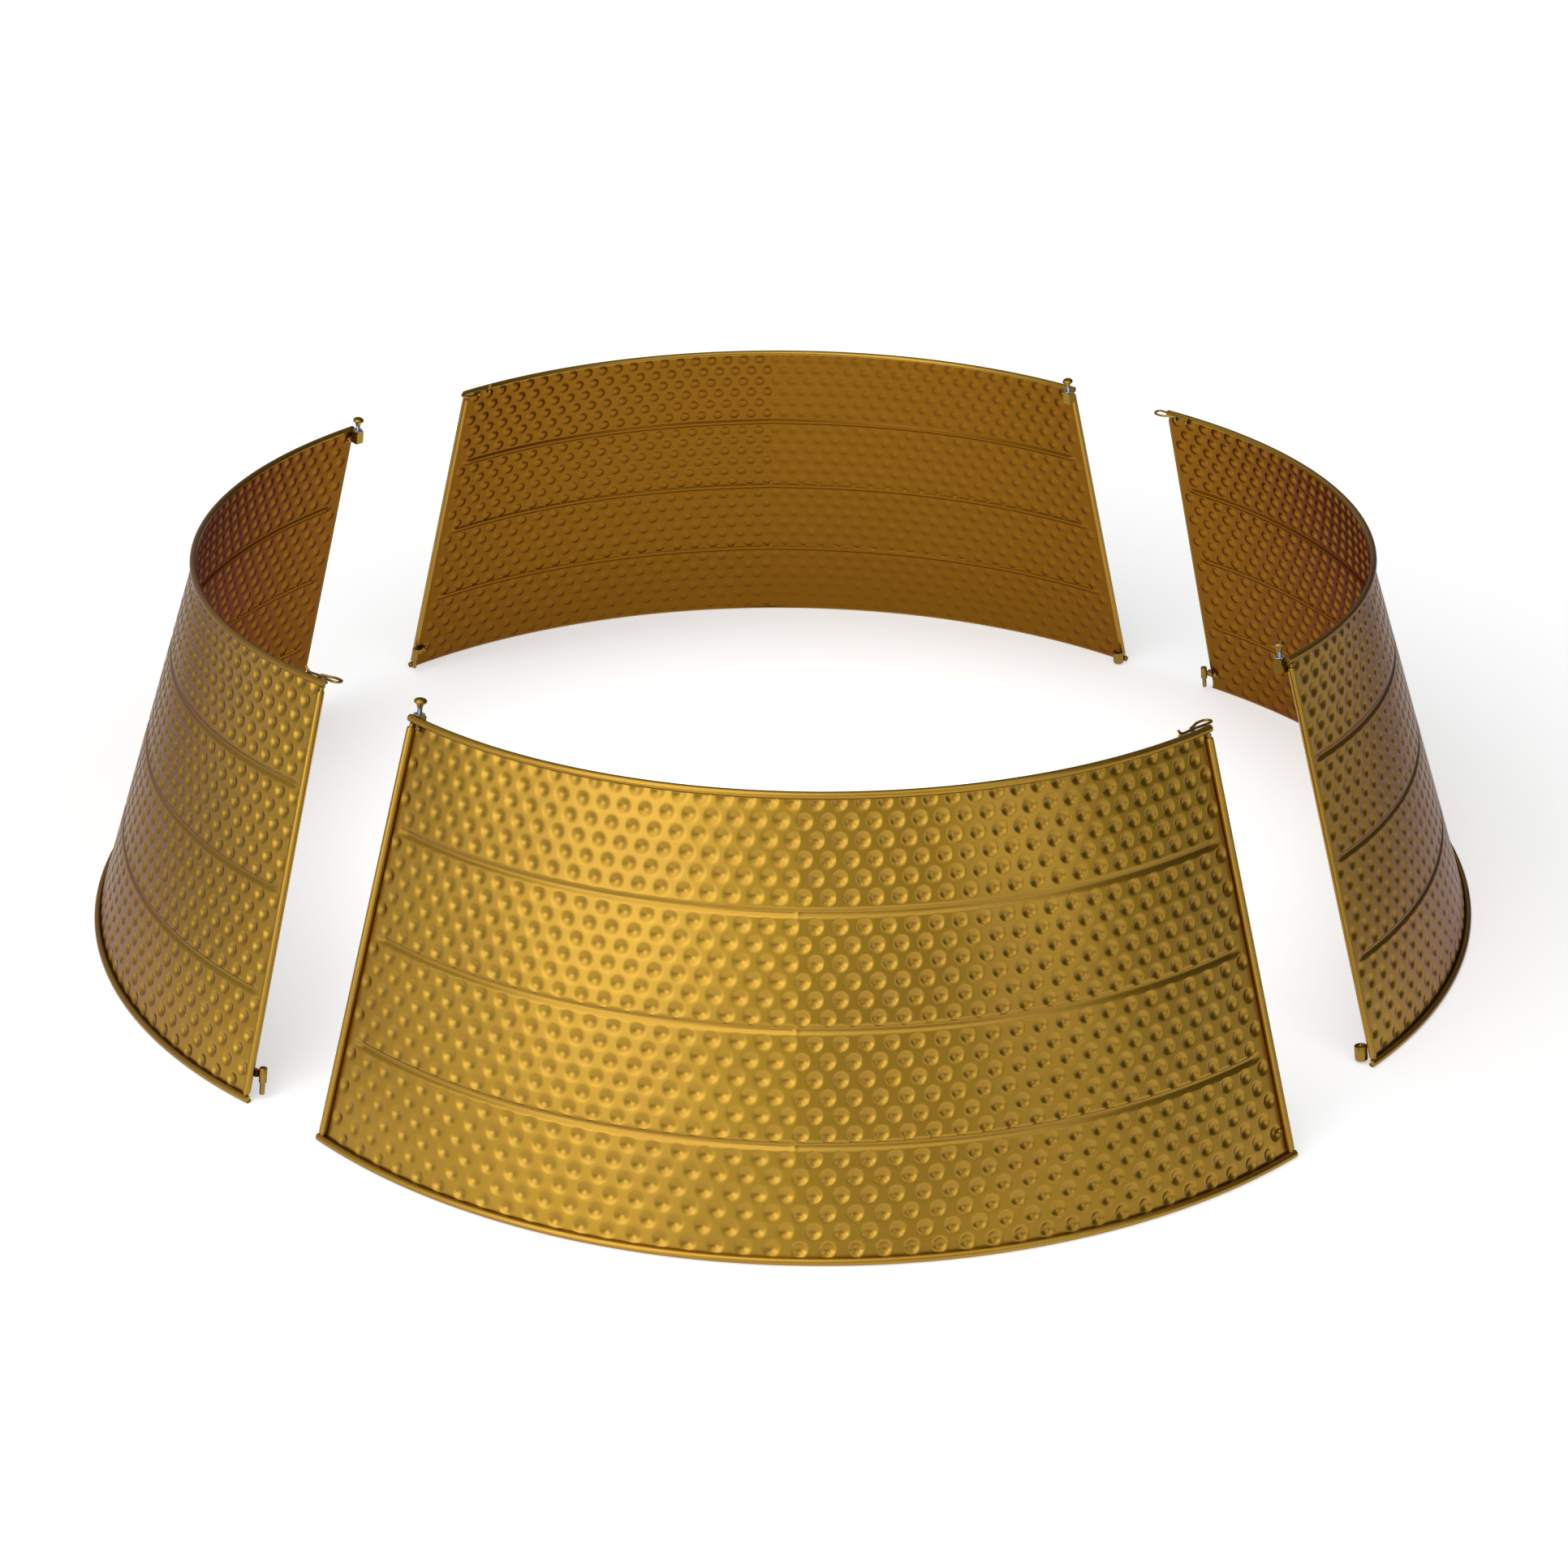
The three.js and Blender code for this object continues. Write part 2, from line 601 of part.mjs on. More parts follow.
// The pieces of a section: name, geometry, material and the end frame that it is made in
const pieces = [
  ['sheet', sheet(), goldSheet, 0],
  ['top_wire', rimWire(topWire), steelWire, 0],
  ['bottom_wire', rimWire(bottomWire), steelWire, 0],
  ['loop_side_wire', sideWire(), steelWire, LOOP_END],
  ['screw_side_wire', sideWire(), steelWire, SCREW_END],
  ['screw_block', screwBlock(), goldFitting, SCREW_END],
  ['block_rivet', rivet(rivetIn, blockRivetLevel), goldFitting, SCREW_END],
  ['washer', washer(), bareSteel, SCREW_END],
  ['screw_head', screwHead(), goldFitting, SCREW_END],
  ['screw_shank', screwShank(), bareSteel, SCREW_END],
  ['eye_loop', eyeLoop(), goldFitting, LOOP_END],
  ['pin', pin(), goldFitting, LOOP_END],
  ['pin_strap', pinStrap(), goldFitting, LOOP_END],
  ['pin_rivet', rivet(-rivetIn, pinRivetLevel), goldFitting, LOOP_END],
  ['socket', socket(), goldFitting, SCREW_END],
];

// The four sections, each turned about its own cone axis and drawn away from the middle
const collar = new THREE.Group();
for (const { name, faces, awayShares, turned } of SECTIONS) {
  const section = new THREE.Group();
  section.position.set(BASE_RADIUS * awayShares[0], BASE_RADIUS * awayShares[1], 0);
  section.rotation.z = THREE.MathUtils.degToRad(faces + turned);
  for (const [piece, geometry, material, end] of pieces) {
    const mesh = new THREE.Mesh(geometry, material);
    mesh.name = `${name}_${piece}`;
    if (end !== 0) {
      frames[end].decompose(mesh.position, mesh.quaternion, mesh.scale);
    }
    section.add(mesh);
  }
  collar.add(section);
}

// The layout's middle on the floor is the origin
const reach = new THREE.Box3().setFromObject(collar, true);
const middle = reach.getCenter(new THREE.Vector3());
collar.position.set(-middle.x, -middle.y, 0);
collar.updateMatrixWorld(true);

export default collar;
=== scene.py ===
# %% [markdown]
# # A Christmas tree collar in four dimpled gold sections
# The collar hides the stand of a Christmas tree. Its four quarter sections are pulled apart and
# stand on a white floor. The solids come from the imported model. This script gives them their
# finishes, and makes what the plain solids leave out: the dimples that stiffen the thin sheet,
# the rolled edges with their open seams, the welds, and the cross slots and threads of the
# screws.

# %% Load the fixed frame
import json
import math

import bpy
import numpy as np
from mathutils import Matrix, Vector

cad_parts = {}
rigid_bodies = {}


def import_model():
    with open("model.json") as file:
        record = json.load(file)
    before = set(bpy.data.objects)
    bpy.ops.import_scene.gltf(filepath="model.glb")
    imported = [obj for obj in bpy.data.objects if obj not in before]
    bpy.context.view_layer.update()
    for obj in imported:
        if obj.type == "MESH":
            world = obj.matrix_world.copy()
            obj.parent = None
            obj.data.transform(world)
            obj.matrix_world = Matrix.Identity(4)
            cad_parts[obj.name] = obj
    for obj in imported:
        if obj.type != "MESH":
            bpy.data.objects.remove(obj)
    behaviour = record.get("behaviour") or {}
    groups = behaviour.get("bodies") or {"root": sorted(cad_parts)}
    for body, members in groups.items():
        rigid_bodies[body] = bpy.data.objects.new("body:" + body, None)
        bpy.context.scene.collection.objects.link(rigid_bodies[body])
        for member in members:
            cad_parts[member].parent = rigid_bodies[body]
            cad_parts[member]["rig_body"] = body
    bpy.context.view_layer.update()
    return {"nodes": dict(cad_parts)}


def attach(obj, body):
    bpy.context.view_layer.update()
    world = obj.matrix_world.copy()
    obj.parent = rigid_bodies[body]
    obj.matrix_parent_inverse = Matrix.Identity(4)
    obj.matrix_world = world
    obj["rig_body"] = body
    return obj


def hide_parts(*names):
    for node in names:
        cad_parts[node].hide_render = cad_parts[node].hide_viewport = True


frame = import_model()
MM = 0.001

# %% [markdown]
# ## Sizes of a section
# These are the same sizes as in the solid model. A place on the sheet is given by its angle
# round the cone, its distance s up the slope from the bottom wire, and its distance d outward
# from the middle of the sheet.

# %% Sizes of the cone and its rims
BASE_RADIUS, TOP_RADIUS, HEIGHT = 381.0, 303.0, 233.0
SHEET, WIRE_D, FIT = 0.6, 2.4, 0.3
EDGE_GAP = 0.8
FOOT_ANGLE = math.radians(18)
CURL_SWEEP = math.radians(300)
wire_r = WIRE_D / 2
bead_r = wire_r + FIT + SHEET
bead_out = bead_r - SHEET / 2
bottom_wire = np.array([BASE_RADIUS - bead_r, bead_r * math.cos(FOOT_ANGLE)])
top_wire = np.array([TOP_RADIUS - bead_r, HEIGHT - bead_r])
slant = float(np.linalg.norm(top_wire - bottom_wire))
up = (top_wire - bottom_wire) / slant
out = np.array([up[1], -up[0]])
top_sheet_radius = float((top_wire - out * bead_out)[0])
half_gap_angle = math.asin((bead_r + EDGE_GAP / 2) / top_sheet_radius)
end_angle = math.pi / 4 - half_gap_angle
rim_reach = end_angle + math.asin(bead_r / top_sheet_radius)
print(f"slope {slant:.1f} mm, a section's sheet ends at {math.degrees(end_angle):.2f} degrees")

# %% [markdown]
# ## Where the four sections stand
# All four sections are alike, so each mesh is made once, in a section's own place with the
# cone's axis upright through the origin. It is then set down four times: each row here gives
# the place of a section's cone axis in mm and how far it is turned in degrees.

# %% The four places
SECTIONS = {
    "front": (18.999, -63.381, -92.3),
    "right": (58.242, 9.771, 1.8),
    "back": (-4.242, 63.111, 90.8),
    "left": (-58.344, 6.342, 184.8),
}


def section_matrix(name):
    """Where a section stands."""
    x, y, turn = SECTIONS[name]
    return Matrix.Translation((x * MM, y * MM, 0)) @ Matrix.Rotation(math.radians(turn), 4, "Z")


def set_down(mesh, piece, slot, *nodes):
    """Sets a mesh down in all four sections, each on the body of the node it stands for."""
    for name in SECTIONS:
        own = mesh.copy()
        own.name = f"{name}_{piece}"
        own.transform(section_matrix(name))
        obj = bpy.data.objects.new(own.name, own)
        bpy.context.scene.collection.objects.link(obj)
        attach(obj, frame["nodes"][f"{name}_{nodes[0]}"]["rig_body"])
        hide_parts(*[f"{name}_{node}" for node in nodes])
    print(f"{piece}: {len(mesh.vertices)} points, in {len(SECTIONS)} sections")
    bpy.data.meshes.remove(mesh)


# %% [markdown]
# ## Small helpers
# One function turns an sRGB hex value to the linear colour that a shader wants. One adds a
# node with its settings and links, and four shorter ones use it for noise, for a mix of two
# colours, for a change of range and for a sum. The others make meshes: from points, from parts,
# by turning an outline as on a lathe, and by drawing a round wire along a path.

# %% Helpers for colours and nodes


def linear(code):
    """Linear RGBA from an sRGB hex value."""
    parts = [int(code[i:i + 2], 16) / 255 for i in (1, 3, 5)]
    return [c / 12.92 if c <= 0.04045 else ((c + 0.055) / 1.055) ** 2.4 for c in parts] + [1.0]


def add(tree, kind, inputs=None, **settings):
    """Adds a node, sets its properties, and fills or links its inputs."""
    node = tree.nodes.new(kind)
    for key, value in settings.items():
        setattr(node, key, value)
    for key, value in (inputs or {}).items():
        if isinstance(value, bpy.types.NodeSocket):
            tree.links.new(value, node.inputs[key])
        else:
            node.inputs[key].default_value = value
    return node


def noise(tree, size, detail):
    """Noise with lumps of about a size in m, fixed to the object."""
    place = add(tree, "ShaderNodeTexCoord")
    return add(tree, "ShaderNodeTexNoise", {
        "Vector": place.outputs["Object"], "Scale": 1 / size, "Detail": detail}).outputs["Fac"]


def mixed(tree, share, first, second):
    """A colour between two, each a linear colour or the output of a node."""
    return add(tree, "ShaderNodeMix", {
        "Factor": share, "A": first, "B": second}, data_type="RGBA").outputs["Result"]


def ranged(tree, value, start, end, low=0.0, high=1.0, **settings):
    """How far a value is on its way from start to end, told between low and high."""
    return add(tree, "ShaderNodeMapRange", {
        "Value": value, "From Min": start, "From Max": end, "To Min": low, "To Max": high,
    }, **settings).outputs["Result"]


def summed(tree, operation, *values):
    """The result of a sum on numbers or outputs of nodes."""
    return add(tree, "ShaderNodeMath", dict(enumerate(values)),
               operation=operation).outputs["Value"]


def new_material(name):
    """An empty material and its node tree."""
    material = bpy.data.materials.new(name)
    material.use_nodes = True
    material.node_tree.nodes.clear()
    return material, material.node_tree


# %% Helpers for meshes
CREASE = math.radians(50)


def mesh_from(name, points_mm, faces, finish):
    """A smooth mesh from points in mm, with its sharp edges kept."""
    mesh = bpy.data.meshes.new(name)
    mesh.from_pydata((np.asarray(points_mm, float) * MM).tolist(), [], faces)
    mesh.validate()
    mesh.update()
    mesh.shade_smooth()
    mesh.set_sharp_from_angle(angle=CREASE)
    mesh.materials.append(finish)
    return mesh


def joined(parts):
    """Points and faces of several parts as one."""
    points, faces, start = [], [], 0
    for part_points, part_faces in parts:
        points.append(part_points)
        faces += [[i + start for i in face] for face in part_faces]
        start += len(part_points)
    return np.concatenate(points), faces


def rings_to_faces(rings, closed_ends=False):
    """Faces between rings of point numbers, without doubled corners at a pole."""
    faces = []
    for low, high in zip(rings, rings[1:]):
        for i in range(len(low)):
            j = (i + 1) % len(low)
            face = list(dict.fromkeys([low[i], low[j], high[j], high[i]]))
            if len(face) > 2:
                faces.append(face)
    if closed_ends:
        faces += [rings[0][::-1], rings[-1]]
    return faces


def lathe(outline, sides=40):
    """Turns an outline of (radius, height) points, from the bottom up, round the z axis."""
    turns = np.arange(sides) * 2 * math.pi / sides
    points, rings = [], []
    for radius, height in outline:
        start = len(points)
        if radius == 0:
            points.append((0.0, 0.0, height))
            rings.append([start] * sides)
        else:
            points += [(radius * math.cos(t), radius * math.sin(t), height) for t in turns]
            rings.append(list(range(start, start + sides)))
    return np.array(points), rings_to_faces(rings)


def wire_along(path, radius, sides=16):
    """A round wire along a path, with cut ends."""
    path = np.asarray(path, float)
    ahead = np.gradient(path, axis=0)
    ahead /= np.linalg.norm(ahead, axis=1)[:, None]
    turns = np.arange(sides)[:, None] * 2 * math.pi / sides
    across = np.cross(ahead[0], (0.0, 0.0, 1.0))
    points, rings = [], []
    for place, direction in zip(path, ahead):
        across = across - direction * across.dot(direction)
        across /= np.linalg.norm(across)
        beside = np.cross(direction, across)
        points.append(place + radius * (np.cos(turns) * across + np.sin(turns) * beside))
        start = sides * len(rings)
        rings.append(list(range(start, start + sides)))
    return np.concatenate(points), rings_to_faces(rings, closed_ends=True)


# %% [markdown]
# ## Gold paint on pressed steel
# The sheet is thin cold-rolled steel, sprayed with gold metallic paint: fine metal flakes in a
# clear binder. Its own colour is a deep old gold. The flakes give a broad metallic sheen that
# turns pale where a lamp stands in it, and the binder adds a thin clear gloss, so the paint is
# a metallic surface under a clear coat. Its tone deepens where the sheet is pressed in, in the
# pits and ribs, and pales on the faint fold: painted shade and painted highlight. Inner faces
# get a third, darker and browner tone, which is painted shade, and little gloss. The flakes of
# real paint are about 0.05 mm, too fine to show here, so their noise is drawn at 0.6 mm.

# %% Gold metallic paint
FLAKE, FLAKE_BUMP, FLAKE_HEIGHT = 0.6 * MM, 0.05, 0.02 * MM
FLAKE_LOW, FLAKE_HIGH = 0.3, 0.7
GLOSSIER, DULLER = 0.04, 0.05
SPRAY_PATCH = 70 * MM
# Levels of random spray patches plus painted pit shade at which the tone is pale and deep.
PALE_AT, DEEP_AT = 0.3, 1.1
PAINT_DETAIL = 2.0
OUTER_LACQUER, INNER_LACQUER, LACQUER_ROUGHNESS = 0.55, 0.12, 0.24
GRAZING_TINT = "#7f6726"


def gold_paint(name, pale, deep, thin, roughness):
    """Sprayed gold metallic paint between two tones; its deepening in the pits and its third tone
    on inner faces are painted shade.
    """
    material, tree = new_material(name)
    cloud, flake = (noise(tree, size, PAINT_DETAIL) for size in (SPRAY_PATCH, FLAKE))
    # The first attribute deepens the tone where the sheet is pressed in, and pales it on the fold:
    # painted shade and painted highlight.
    pit_shade, inner = (add(tree, "ShaderNodeAttribute", attribute_name=own).outputs["Fac"]
                   for own in ("painted_pit_shade", "inner_face"))
    spray_and_pit_shade = ranged(tree, summed(tree, "ADD", cloud, pit_shade), PALE_AT, DEEP_AT)
    full = mixed(tree, spray_and_pit_shade, linear(pale), linear(deep))
    gloss = ranged(tree, flake, FLAKE_LOW, FLAKE_HIGH, roughness - GLOSSIER, roughness + DULLER)
    bump = add(tree, "ShaderNodeBump", {
        "Height": flake, "Strength": FLAKE_BUMP, "Distance": FLAKE_HEIGHT})
    paint = add(tree, "ShaderNodeBsdfPrincipled", {
        # Inner faces take the darker thin tone: painted shade.
        "Base Color": mixed(tree, inner, full, linear(thin)), "Metallic": 1.0,
        "Specular Tint": linear(GRAZING_TINT), "Roughness": gloss,
        "Normal": bump.outputs["Normal"],
        "Coat Weight": ranged(tree, inner, 0.0, 1.0, OUTER_LACQUER, INNER_LACQUER),
        "Coat Roughness": LACQUER_ROUGHNESS})
    add(tree, "ShaderNodeOutputMaterial", {"Surface": paint.outputs["BSDF"]})
    return material


# The thin tone on inner faces is darker and browner than the outer ones: painted shade.
sheet_paint = gold_paint(
    "gold_metallic_paint_on_sheet",
    pale="#aa8218", deep="#967012", thin="#84580a", roughness=0.33)
fitting_paint = gold_paint(
    "gold_metallic_paint_on_fittings",
    pale="#9c7a18", deep="#82600c", thin="#82600c", roughness=0.3)
print("made", sheet_paint.name, "and", fitting_paint.name)

# %% [markdown]
# ## Bright zinc plate on the screws and washers
# The shanks and washers are steel with a bright zinc coat, rolled or stamped and then tumbled.
# The eye sees a smooth light metal with a slight blue cast and small dull patches.

# %% Zinc-plated steel
DULL_PATCH, DULL_DETAIL = 0.4 * MM, 3.0
BRIGHT_TONE, DULL_TONE = "#b9bbbe", "#8f9195"
BRIGHT_ROUGHNESS, DULL_ROUGHNESS = 0.18, 0.36


def zinc_plate():
    """Bright zinc-plated steel."""
    material, tree = new_material("zinc_plated_steel")
    grain = noise(tree, DULL_PATCH, DULL_DETAIL)
    metal = add(tree, "ShaderNodeBsdfPrincipled", {
        "Base Color": mixed(tree, grain, linear(BRIGHT_TONE), linear(DULL_TONE)),
        "Metallic": 1.0,
        "Roughness": ranged(tree, grain, 0.0, 1.0, BRIGHT_ROUGHNESS, DULL_ROUGHNESS)})
    add(tree, "ShaderNodeOutputMaterial", {"Surface": metal.outputs["BSDF"]})
    return material


bare_steel = zinc_plate()
print("made", bare_steel.name)

# %% [markdown]
# ## Finishes of the carried-over solids
# Most solids are replaced below by rounder pieces. The screw blocks and the straps keep their
# solid shapes: bent and sheared from flat steel, they have plain faces, and paint rounds their
# edges. A bevel with a small width does the same.

# %% Give the solids their finishes and ease the edges of the blocks and straps
EASED_EDGE, EASED_STEPS, EASED_FROM = 0.3 * MM, 3, math.radians(40)
STEEL = ("washer", "screw_shank")
for name, node in frame["nodes"].items():
    piece = name.split("_", 1)[1]
    node.data.materials.clear()
    node.data.materials.append(bare_steel if piece in STEEL else fitting_paint)
    if piece in ("screw_block", "pin_strap"):
        ease = node.modifiers.new("eased_edges", "BEVEL")
        ease.width = EASED_EDGE
        ease.segments = EASED_STEPS
        ease.angle_limit = EASED_FROM
print("finished", len(frame["nodes"]), "solids")

# %% [markdown]
# ## The dimpled sheet
# Each section was pressed in two strokes from one die, so its right half, seen from outside, has
# crisp pits and its left half softer ones, with a faint line between them. The three ribs part
# the sheet in four bands, each with six staggered rows of pits on lines that run to the cone's
# top, so the pits spread apart toward the base. A bump map would leave the outline and the
# shadows flat, so the pits are real: a fine grid of points is pushed inward. The sizes here
# say how deep each point of that grid goes.

# %% Rows of pits
PIT_STEP = math.radians(2.22)
PIT_COUNT = 40
CRISP_R, CRISP_DEPTH = 4.05, 1.35
SOFT_R, SOFT_DEPTH = 5.0, 1.05
BANDS, ROWS, ROW_PITCH = 4, 6, 9.5
TOP_LEAD, TOP_PITCH, RIB_LEAD = 3.6, 9.76, 7.0
SEAM = math.radians(-0.49)
FOLD, FOLD_SPREAD = 0.8, 20.0
cap_r = (CRISP_R ** 2 + CRISP_DEPTH ** 2) / (2 * CRISP_DEPTH)


def row_places():
    """Distance up the slope of every row of pits, with its shift in pit steps."""
    rows = []
    for band in range(BANDS):
        top = slant * (BANDS - band) / BANDS
        lead, pitch = (TOP_LEAD, TOP_PITCH) if band == 0 else (RIB_LEAD, ROW_PITCH)
        rows += [(top - lead - pitch * k, 0.5 * (1 - k % 2)) for k in range(ROWS)]
    return rows


def pit_depth(angle, s):
    """Inward depth of the pits at every point of the grid."""
    depth = np.zeros_like(s)
    radius = bottom_wire[0] + up[0] * s
    for place, shift in row_places():
        near = np.abs(s - place) < SOFT_R
        column = np.round(angle[near] / PIT_STEP - shift) + shift
        inside = np.abs(column) < PIT_COUNT / 2
        across = (angle[near] - column * PIT_STEP) * radius[near]
        away = np.hypot(across, s[near] - place)
        crisp = np.sqrt(np.clip(cap_r ** 2 - away ** 2, 0, None)) - (cap_r - CRISP_DEPTH)
        soft = SOFT_DEPTH * np.cos(np.clip(away / SOFT_R, 0, 1) * math.pi / 2) ** 2
        pit = np.where(angle[near] > SEAM, np.clip(crisp, 0, None), soft) * inside
        depth[near] = np.maximum(depth[near], pit)
    return depth


# %% [markdown]
# ### Three pressed ribs
# Each rib is a narrow groove with a flat floor and steep walls, so it shows as a dark line over
# a bright one. It runs out before the side edges, and has a small nick at the line between the
# two strokes of the press.

# %% Ribs
RIB_SHARES = (0.25, 0.5, 0.75)
RIB_WIDTH, RIB_FLOOR, RIB_DEPTH = 5.2, 1.6, 1.3
RIB_END_LENGTH = 12.0
NICK_WIDTH, NICK_SHARE = 0.9, 0.35


def rib_depth(angle, s):
    """Inward depth of the three ribs."""
    from_end = (end_angle - np.abs(angle)) * top_sheet_radius
    fade = np.clip((from_end - RIB_END_LENGTH / 2) / (RIB_END_LENGTH / 2), 0, 1)
    nick = 1 - NICK_SHARE * np.exp(-((angle - SEAM) * top_sheet_radius / NICK_WIDTH) ** 2)
    wall = (RIB_WIDTH - RIB_FLOOR) / 2
    depth = np.zeros_like(s)
    for share in RIB_SHARES:
        inward = np.clip((RIB_WIDTH / 2 - np.abs(s - slant * share)) / wall, 0, 1)
        depth = np.maximum(depth, RIB_DEPTH * (0.5 - 0.5 * np.cos(inward * math.pi)))
    return depth * fade * nick


# %% [markdown]
# ### The sheet as one grid
# The real sheet is one piece, 0.6 mm thick. It could be a cone that a texture displaces, but
# rows of pits that spread with the cone are easier to state as numbers than as a texture. So
# one grid in angle and slope is set on the cone and pushed in by the deeper of pit and rib, and
# the same grid makes the back face, so that each pit is a rounder bump inside. Strips of faces
# close the shell at its four edges. Two numbers on each point tell the paint how far it is
# pressed in, which sets the painted shade in the pits, and which face is the inner one, with
# its darker tone of painted shade and its thinner coat.

# %% Build the sheet once
GRID = 0.85
# How much the tone deepens in the deepest pit: painted shade.
PIT_SHADE_SHARE = 0.35


def on_cone(angle, s, d):
    """Points in mm from arrays of angle, distance up the slope and distance outward."""
    radius = bottom_wire[0] + up[0] * s + out[0] * (d - bead_out)
    height = bottom_wire[1] + up[1] * s + out[1] * (d - bead_out)
    return np.stack([radius * np.cos(angle), radius * np.sin(angle), height], axis=-1)


def grid_quads(columns, rows, start):
    """Corner numbers of the faces of a grid of points."""
    corner = np.arange(rows)[:, None] * (columns + 1) + np.arange(columns)[None, :]
    corner = corner.ravel() + start
    return np.stack([corner, corner + 1, corner + columns + 2, corner + columns + 1], axis=1)


def fold_height(angle):
    """Height of the faint fold that the press leaves where its two strokes meet."""
    return FOLD * np.exp(-np.abs(angle - SEAM) * BASE_RADIUS / FOLD_SPREAD)


def dimpled_sheet():
    """The pressed sheet of one section as a closed thin shell, without its rolled edges."""
    columns = 2 * round(end_angle * BASE_RADIUS / GRID)
    rows = round(slant / GRID)
    angle, s = np.meshgrid(
        np.linspace(-end_angle, end_angle, columns + 1), np.linspace(0, slant, rows + 1))
    depth = np.maximum(pit_depth(angle, s), rib_depth(angle, s)) - fold_height(angle)
    outside = on_cone(angle, s, SHEET / 2 - depth).reshape(-1, 3)
    inside = on_cone(angle, s, -SHEET / 2 - depth).reshape(-1, 3)
    start = len(outside)
    faces = grid_quads(columns, rows, 0).tolist()
    faces += grid_quads(columns, rows, start)[:, ::-1].tolist()
    width = columns + 1
    low, high = np.arange(width), np.arange(width) + rows * width
    first, last = np.arange(rows + 1) * width, np.arange(rows + 1) * width + columns
    for edge in (low[::-1], high, first, last[::-1]):
        here, ahead = edge[:-1], edge[1:]
        faces += np.stack([here, ahead, ahead + start, here + start], axis=1).tolist()
    mesh = mesh_from("dimpled_sheet", np.concatenate([outside, inside]), faces, sheet_paint)
    # The tone deepens with the depth of pit and rib and pales on the fold: painted shade and
    # painted highlight.
    pit_shade = mesh.attributes.new("painted_pit_shade", "FLOAT", "POINT")
    pit_shade.data.foreach_set("value", np.tile(depth.ravel(), 2) / CRISP_DEPTH * PIT_SHADE_SHARE)
    inner = mesh.attributes.new("inner_face", "FLOAT", "POINT")
    inner.data.foreach_set("value", np.repeat([0.0, 1.0], [start, len(inside)]))
    return mesh


set_down(dimpled_sheet(), "dimpled_sheet", "gold_sheet", "sheet")

# %% [markdown]
# ## The rolled edges
# All four edges are curled outward round a steel wire, which makes them stiff and safe to
# touch. A curl closes by 300 degrees, so a dark open seam runs along it beside the sheet. Each
# is a thin strip swept along its wire. A press curls by hand feed, so the lip wanders a little.

# %% Curls along the rims
CURL_STEPS = 26
LIP_WANDER = math.radians(5)
LIP_SHORT, LIP_SWING = 0.3, 0.5
LIP_WAVES = ((31.0, 1.0, 0.0), (12.7, 0.6, 1.3), (5.3, 0.4, 0.0))
RIM_STEPS = 260


def lip_turn(length):
    """Where the lip of a curl ends, at a distance along the edge in mm."""
    wander = sum(height * math.sin(length / wave + shift) for wave, height, shift in LIP_WAVES)
    return CURL_SWEEP - LIP_WANDER * (LIP_SHORT + LIP_SWING * wander)


def curl_outline(last):
    """Radius and turn of the points round a curl, inner face first and outer face back."""
    turns = np.linspace(0, last, CURL_STEPS)
    inner = np.stack([np.full(CURL_STEPS, bead_r - SHEET), turns], axis=1)
    outer = np.stack([np.full(CURL_STEPS, bead_r), turns], axis=1)
    return np.concatenate([inner, outer[::-1]])


def strip_faces(count, flip):
    """Faces of a strip swept through outlines of a curl, with its two cut ends."""
    n = 2 * CURL_STEPS
    faces = []
    for k in range(count - 1):
        for i in range(n):
            j = (i + 1) % n
            faces.append([k * n + i, k * n + j, (k + 1) * n + j, (k + 1) * n + i])
    last = (count - 1) * n
    for i in range(CURL_STEPS - 1):
        faces.append([i, n - 1 - i, n - 2 - i, i + 1])
        faces.append([last + i, last + i + 1, last + n - 2 - i, last + n - 1 - i])
    return [face[::-1] for face in faces] if flip else faces


def rim_curl(centre, towards):
    """A rim curled round its wire: towards is 1 at the top and -1 at the bottom."""
    points = []
    for angle in np.linspace(-rim_reach, rim_reach, RIM_STEPS + 1):
        radius, turn = curl_outline(lip_turn(angle * centre[0])).T
        r = centre[0] - out[0] * radius * np.cos(turn) + towards * up[0] * radius * np.sin(turn)
        z = centre[1] - out[1] * radius * np.cos(turn) + towards * up[1] * radius * np.sin(turn)
        z = np.maximum(z, 0.0)
        points.append(np.stack([r * math.cos(angle), r * math.sin(angle), z], axis=1))
    return np.concatenate(points), strip_faces(RIM_STEPS + 1, towards > 0)


# %% [markdown]
# ### Frames at the two ends of a section
# The small fittings sit at the ends of the sheet. Each end has a frame of its own: x along the
# rim, y inward and z up the slope, as in the solid model. The screw end is the left one, seen
# from outside, and the loop end is the right one.

# %% End frames
LOOP_END, SCREW_END = 1, -1


def end_frame(side):
    """Frame at a sheet end, in mm."""
    angle = side * end_angle
    radial = np.array([math.cos(angle), math.sin(angle), 0.0])
    upright = np.array([0.0, 0.0, 1.0])
    foot = bottom_wire - out * bead_out
    matrix = np.eye(4)
    matrix[:3, 0] = (-math.sin(angle), math.cos(angle), 0.0)
    matrix[:3, 1] = -out[0] * radial - out[1] * upright
    matrix[:3, 2] = up[0] * radial + up[1] * upright
    matrix[:3, 3] = foot[0] * radial + foot[1] * upright
    return matrix


frames = {side: end_frame(side) for side in (LOOP_END, SCREW_END)}


def moved(matrix, part):
    """Points and faces of a part, with its points put through a matrix."""
    points, faces = part
    return np.asarray(points, float) @ matrix[:3, :3].T + matrix[:3, 3], faces


# %% [markdown]
# ### The two side curls
# The side edges are curled like the rims. They start above the bottom rim and end under the
# top one, where the corners of the blank were notched, and are pinched a little at their upper
# end, as a sheet is when its curl is begun by hand.

# %% Curls along the side edges
TOP_NOTCH, BOTTOM_NOTCH = 2.6, 1.4
SIDE_STEPS = 80
PINCH, PINCH_LENGTH = 0.1, 2.2
PINCH_STEPS, PINCH_STEP = 6, 0.5
LIP_SHIFT = 100
side_low, side_high = bead_r + BOTTOM_NOTCH, slant - bead_r - TOP_NOTCH


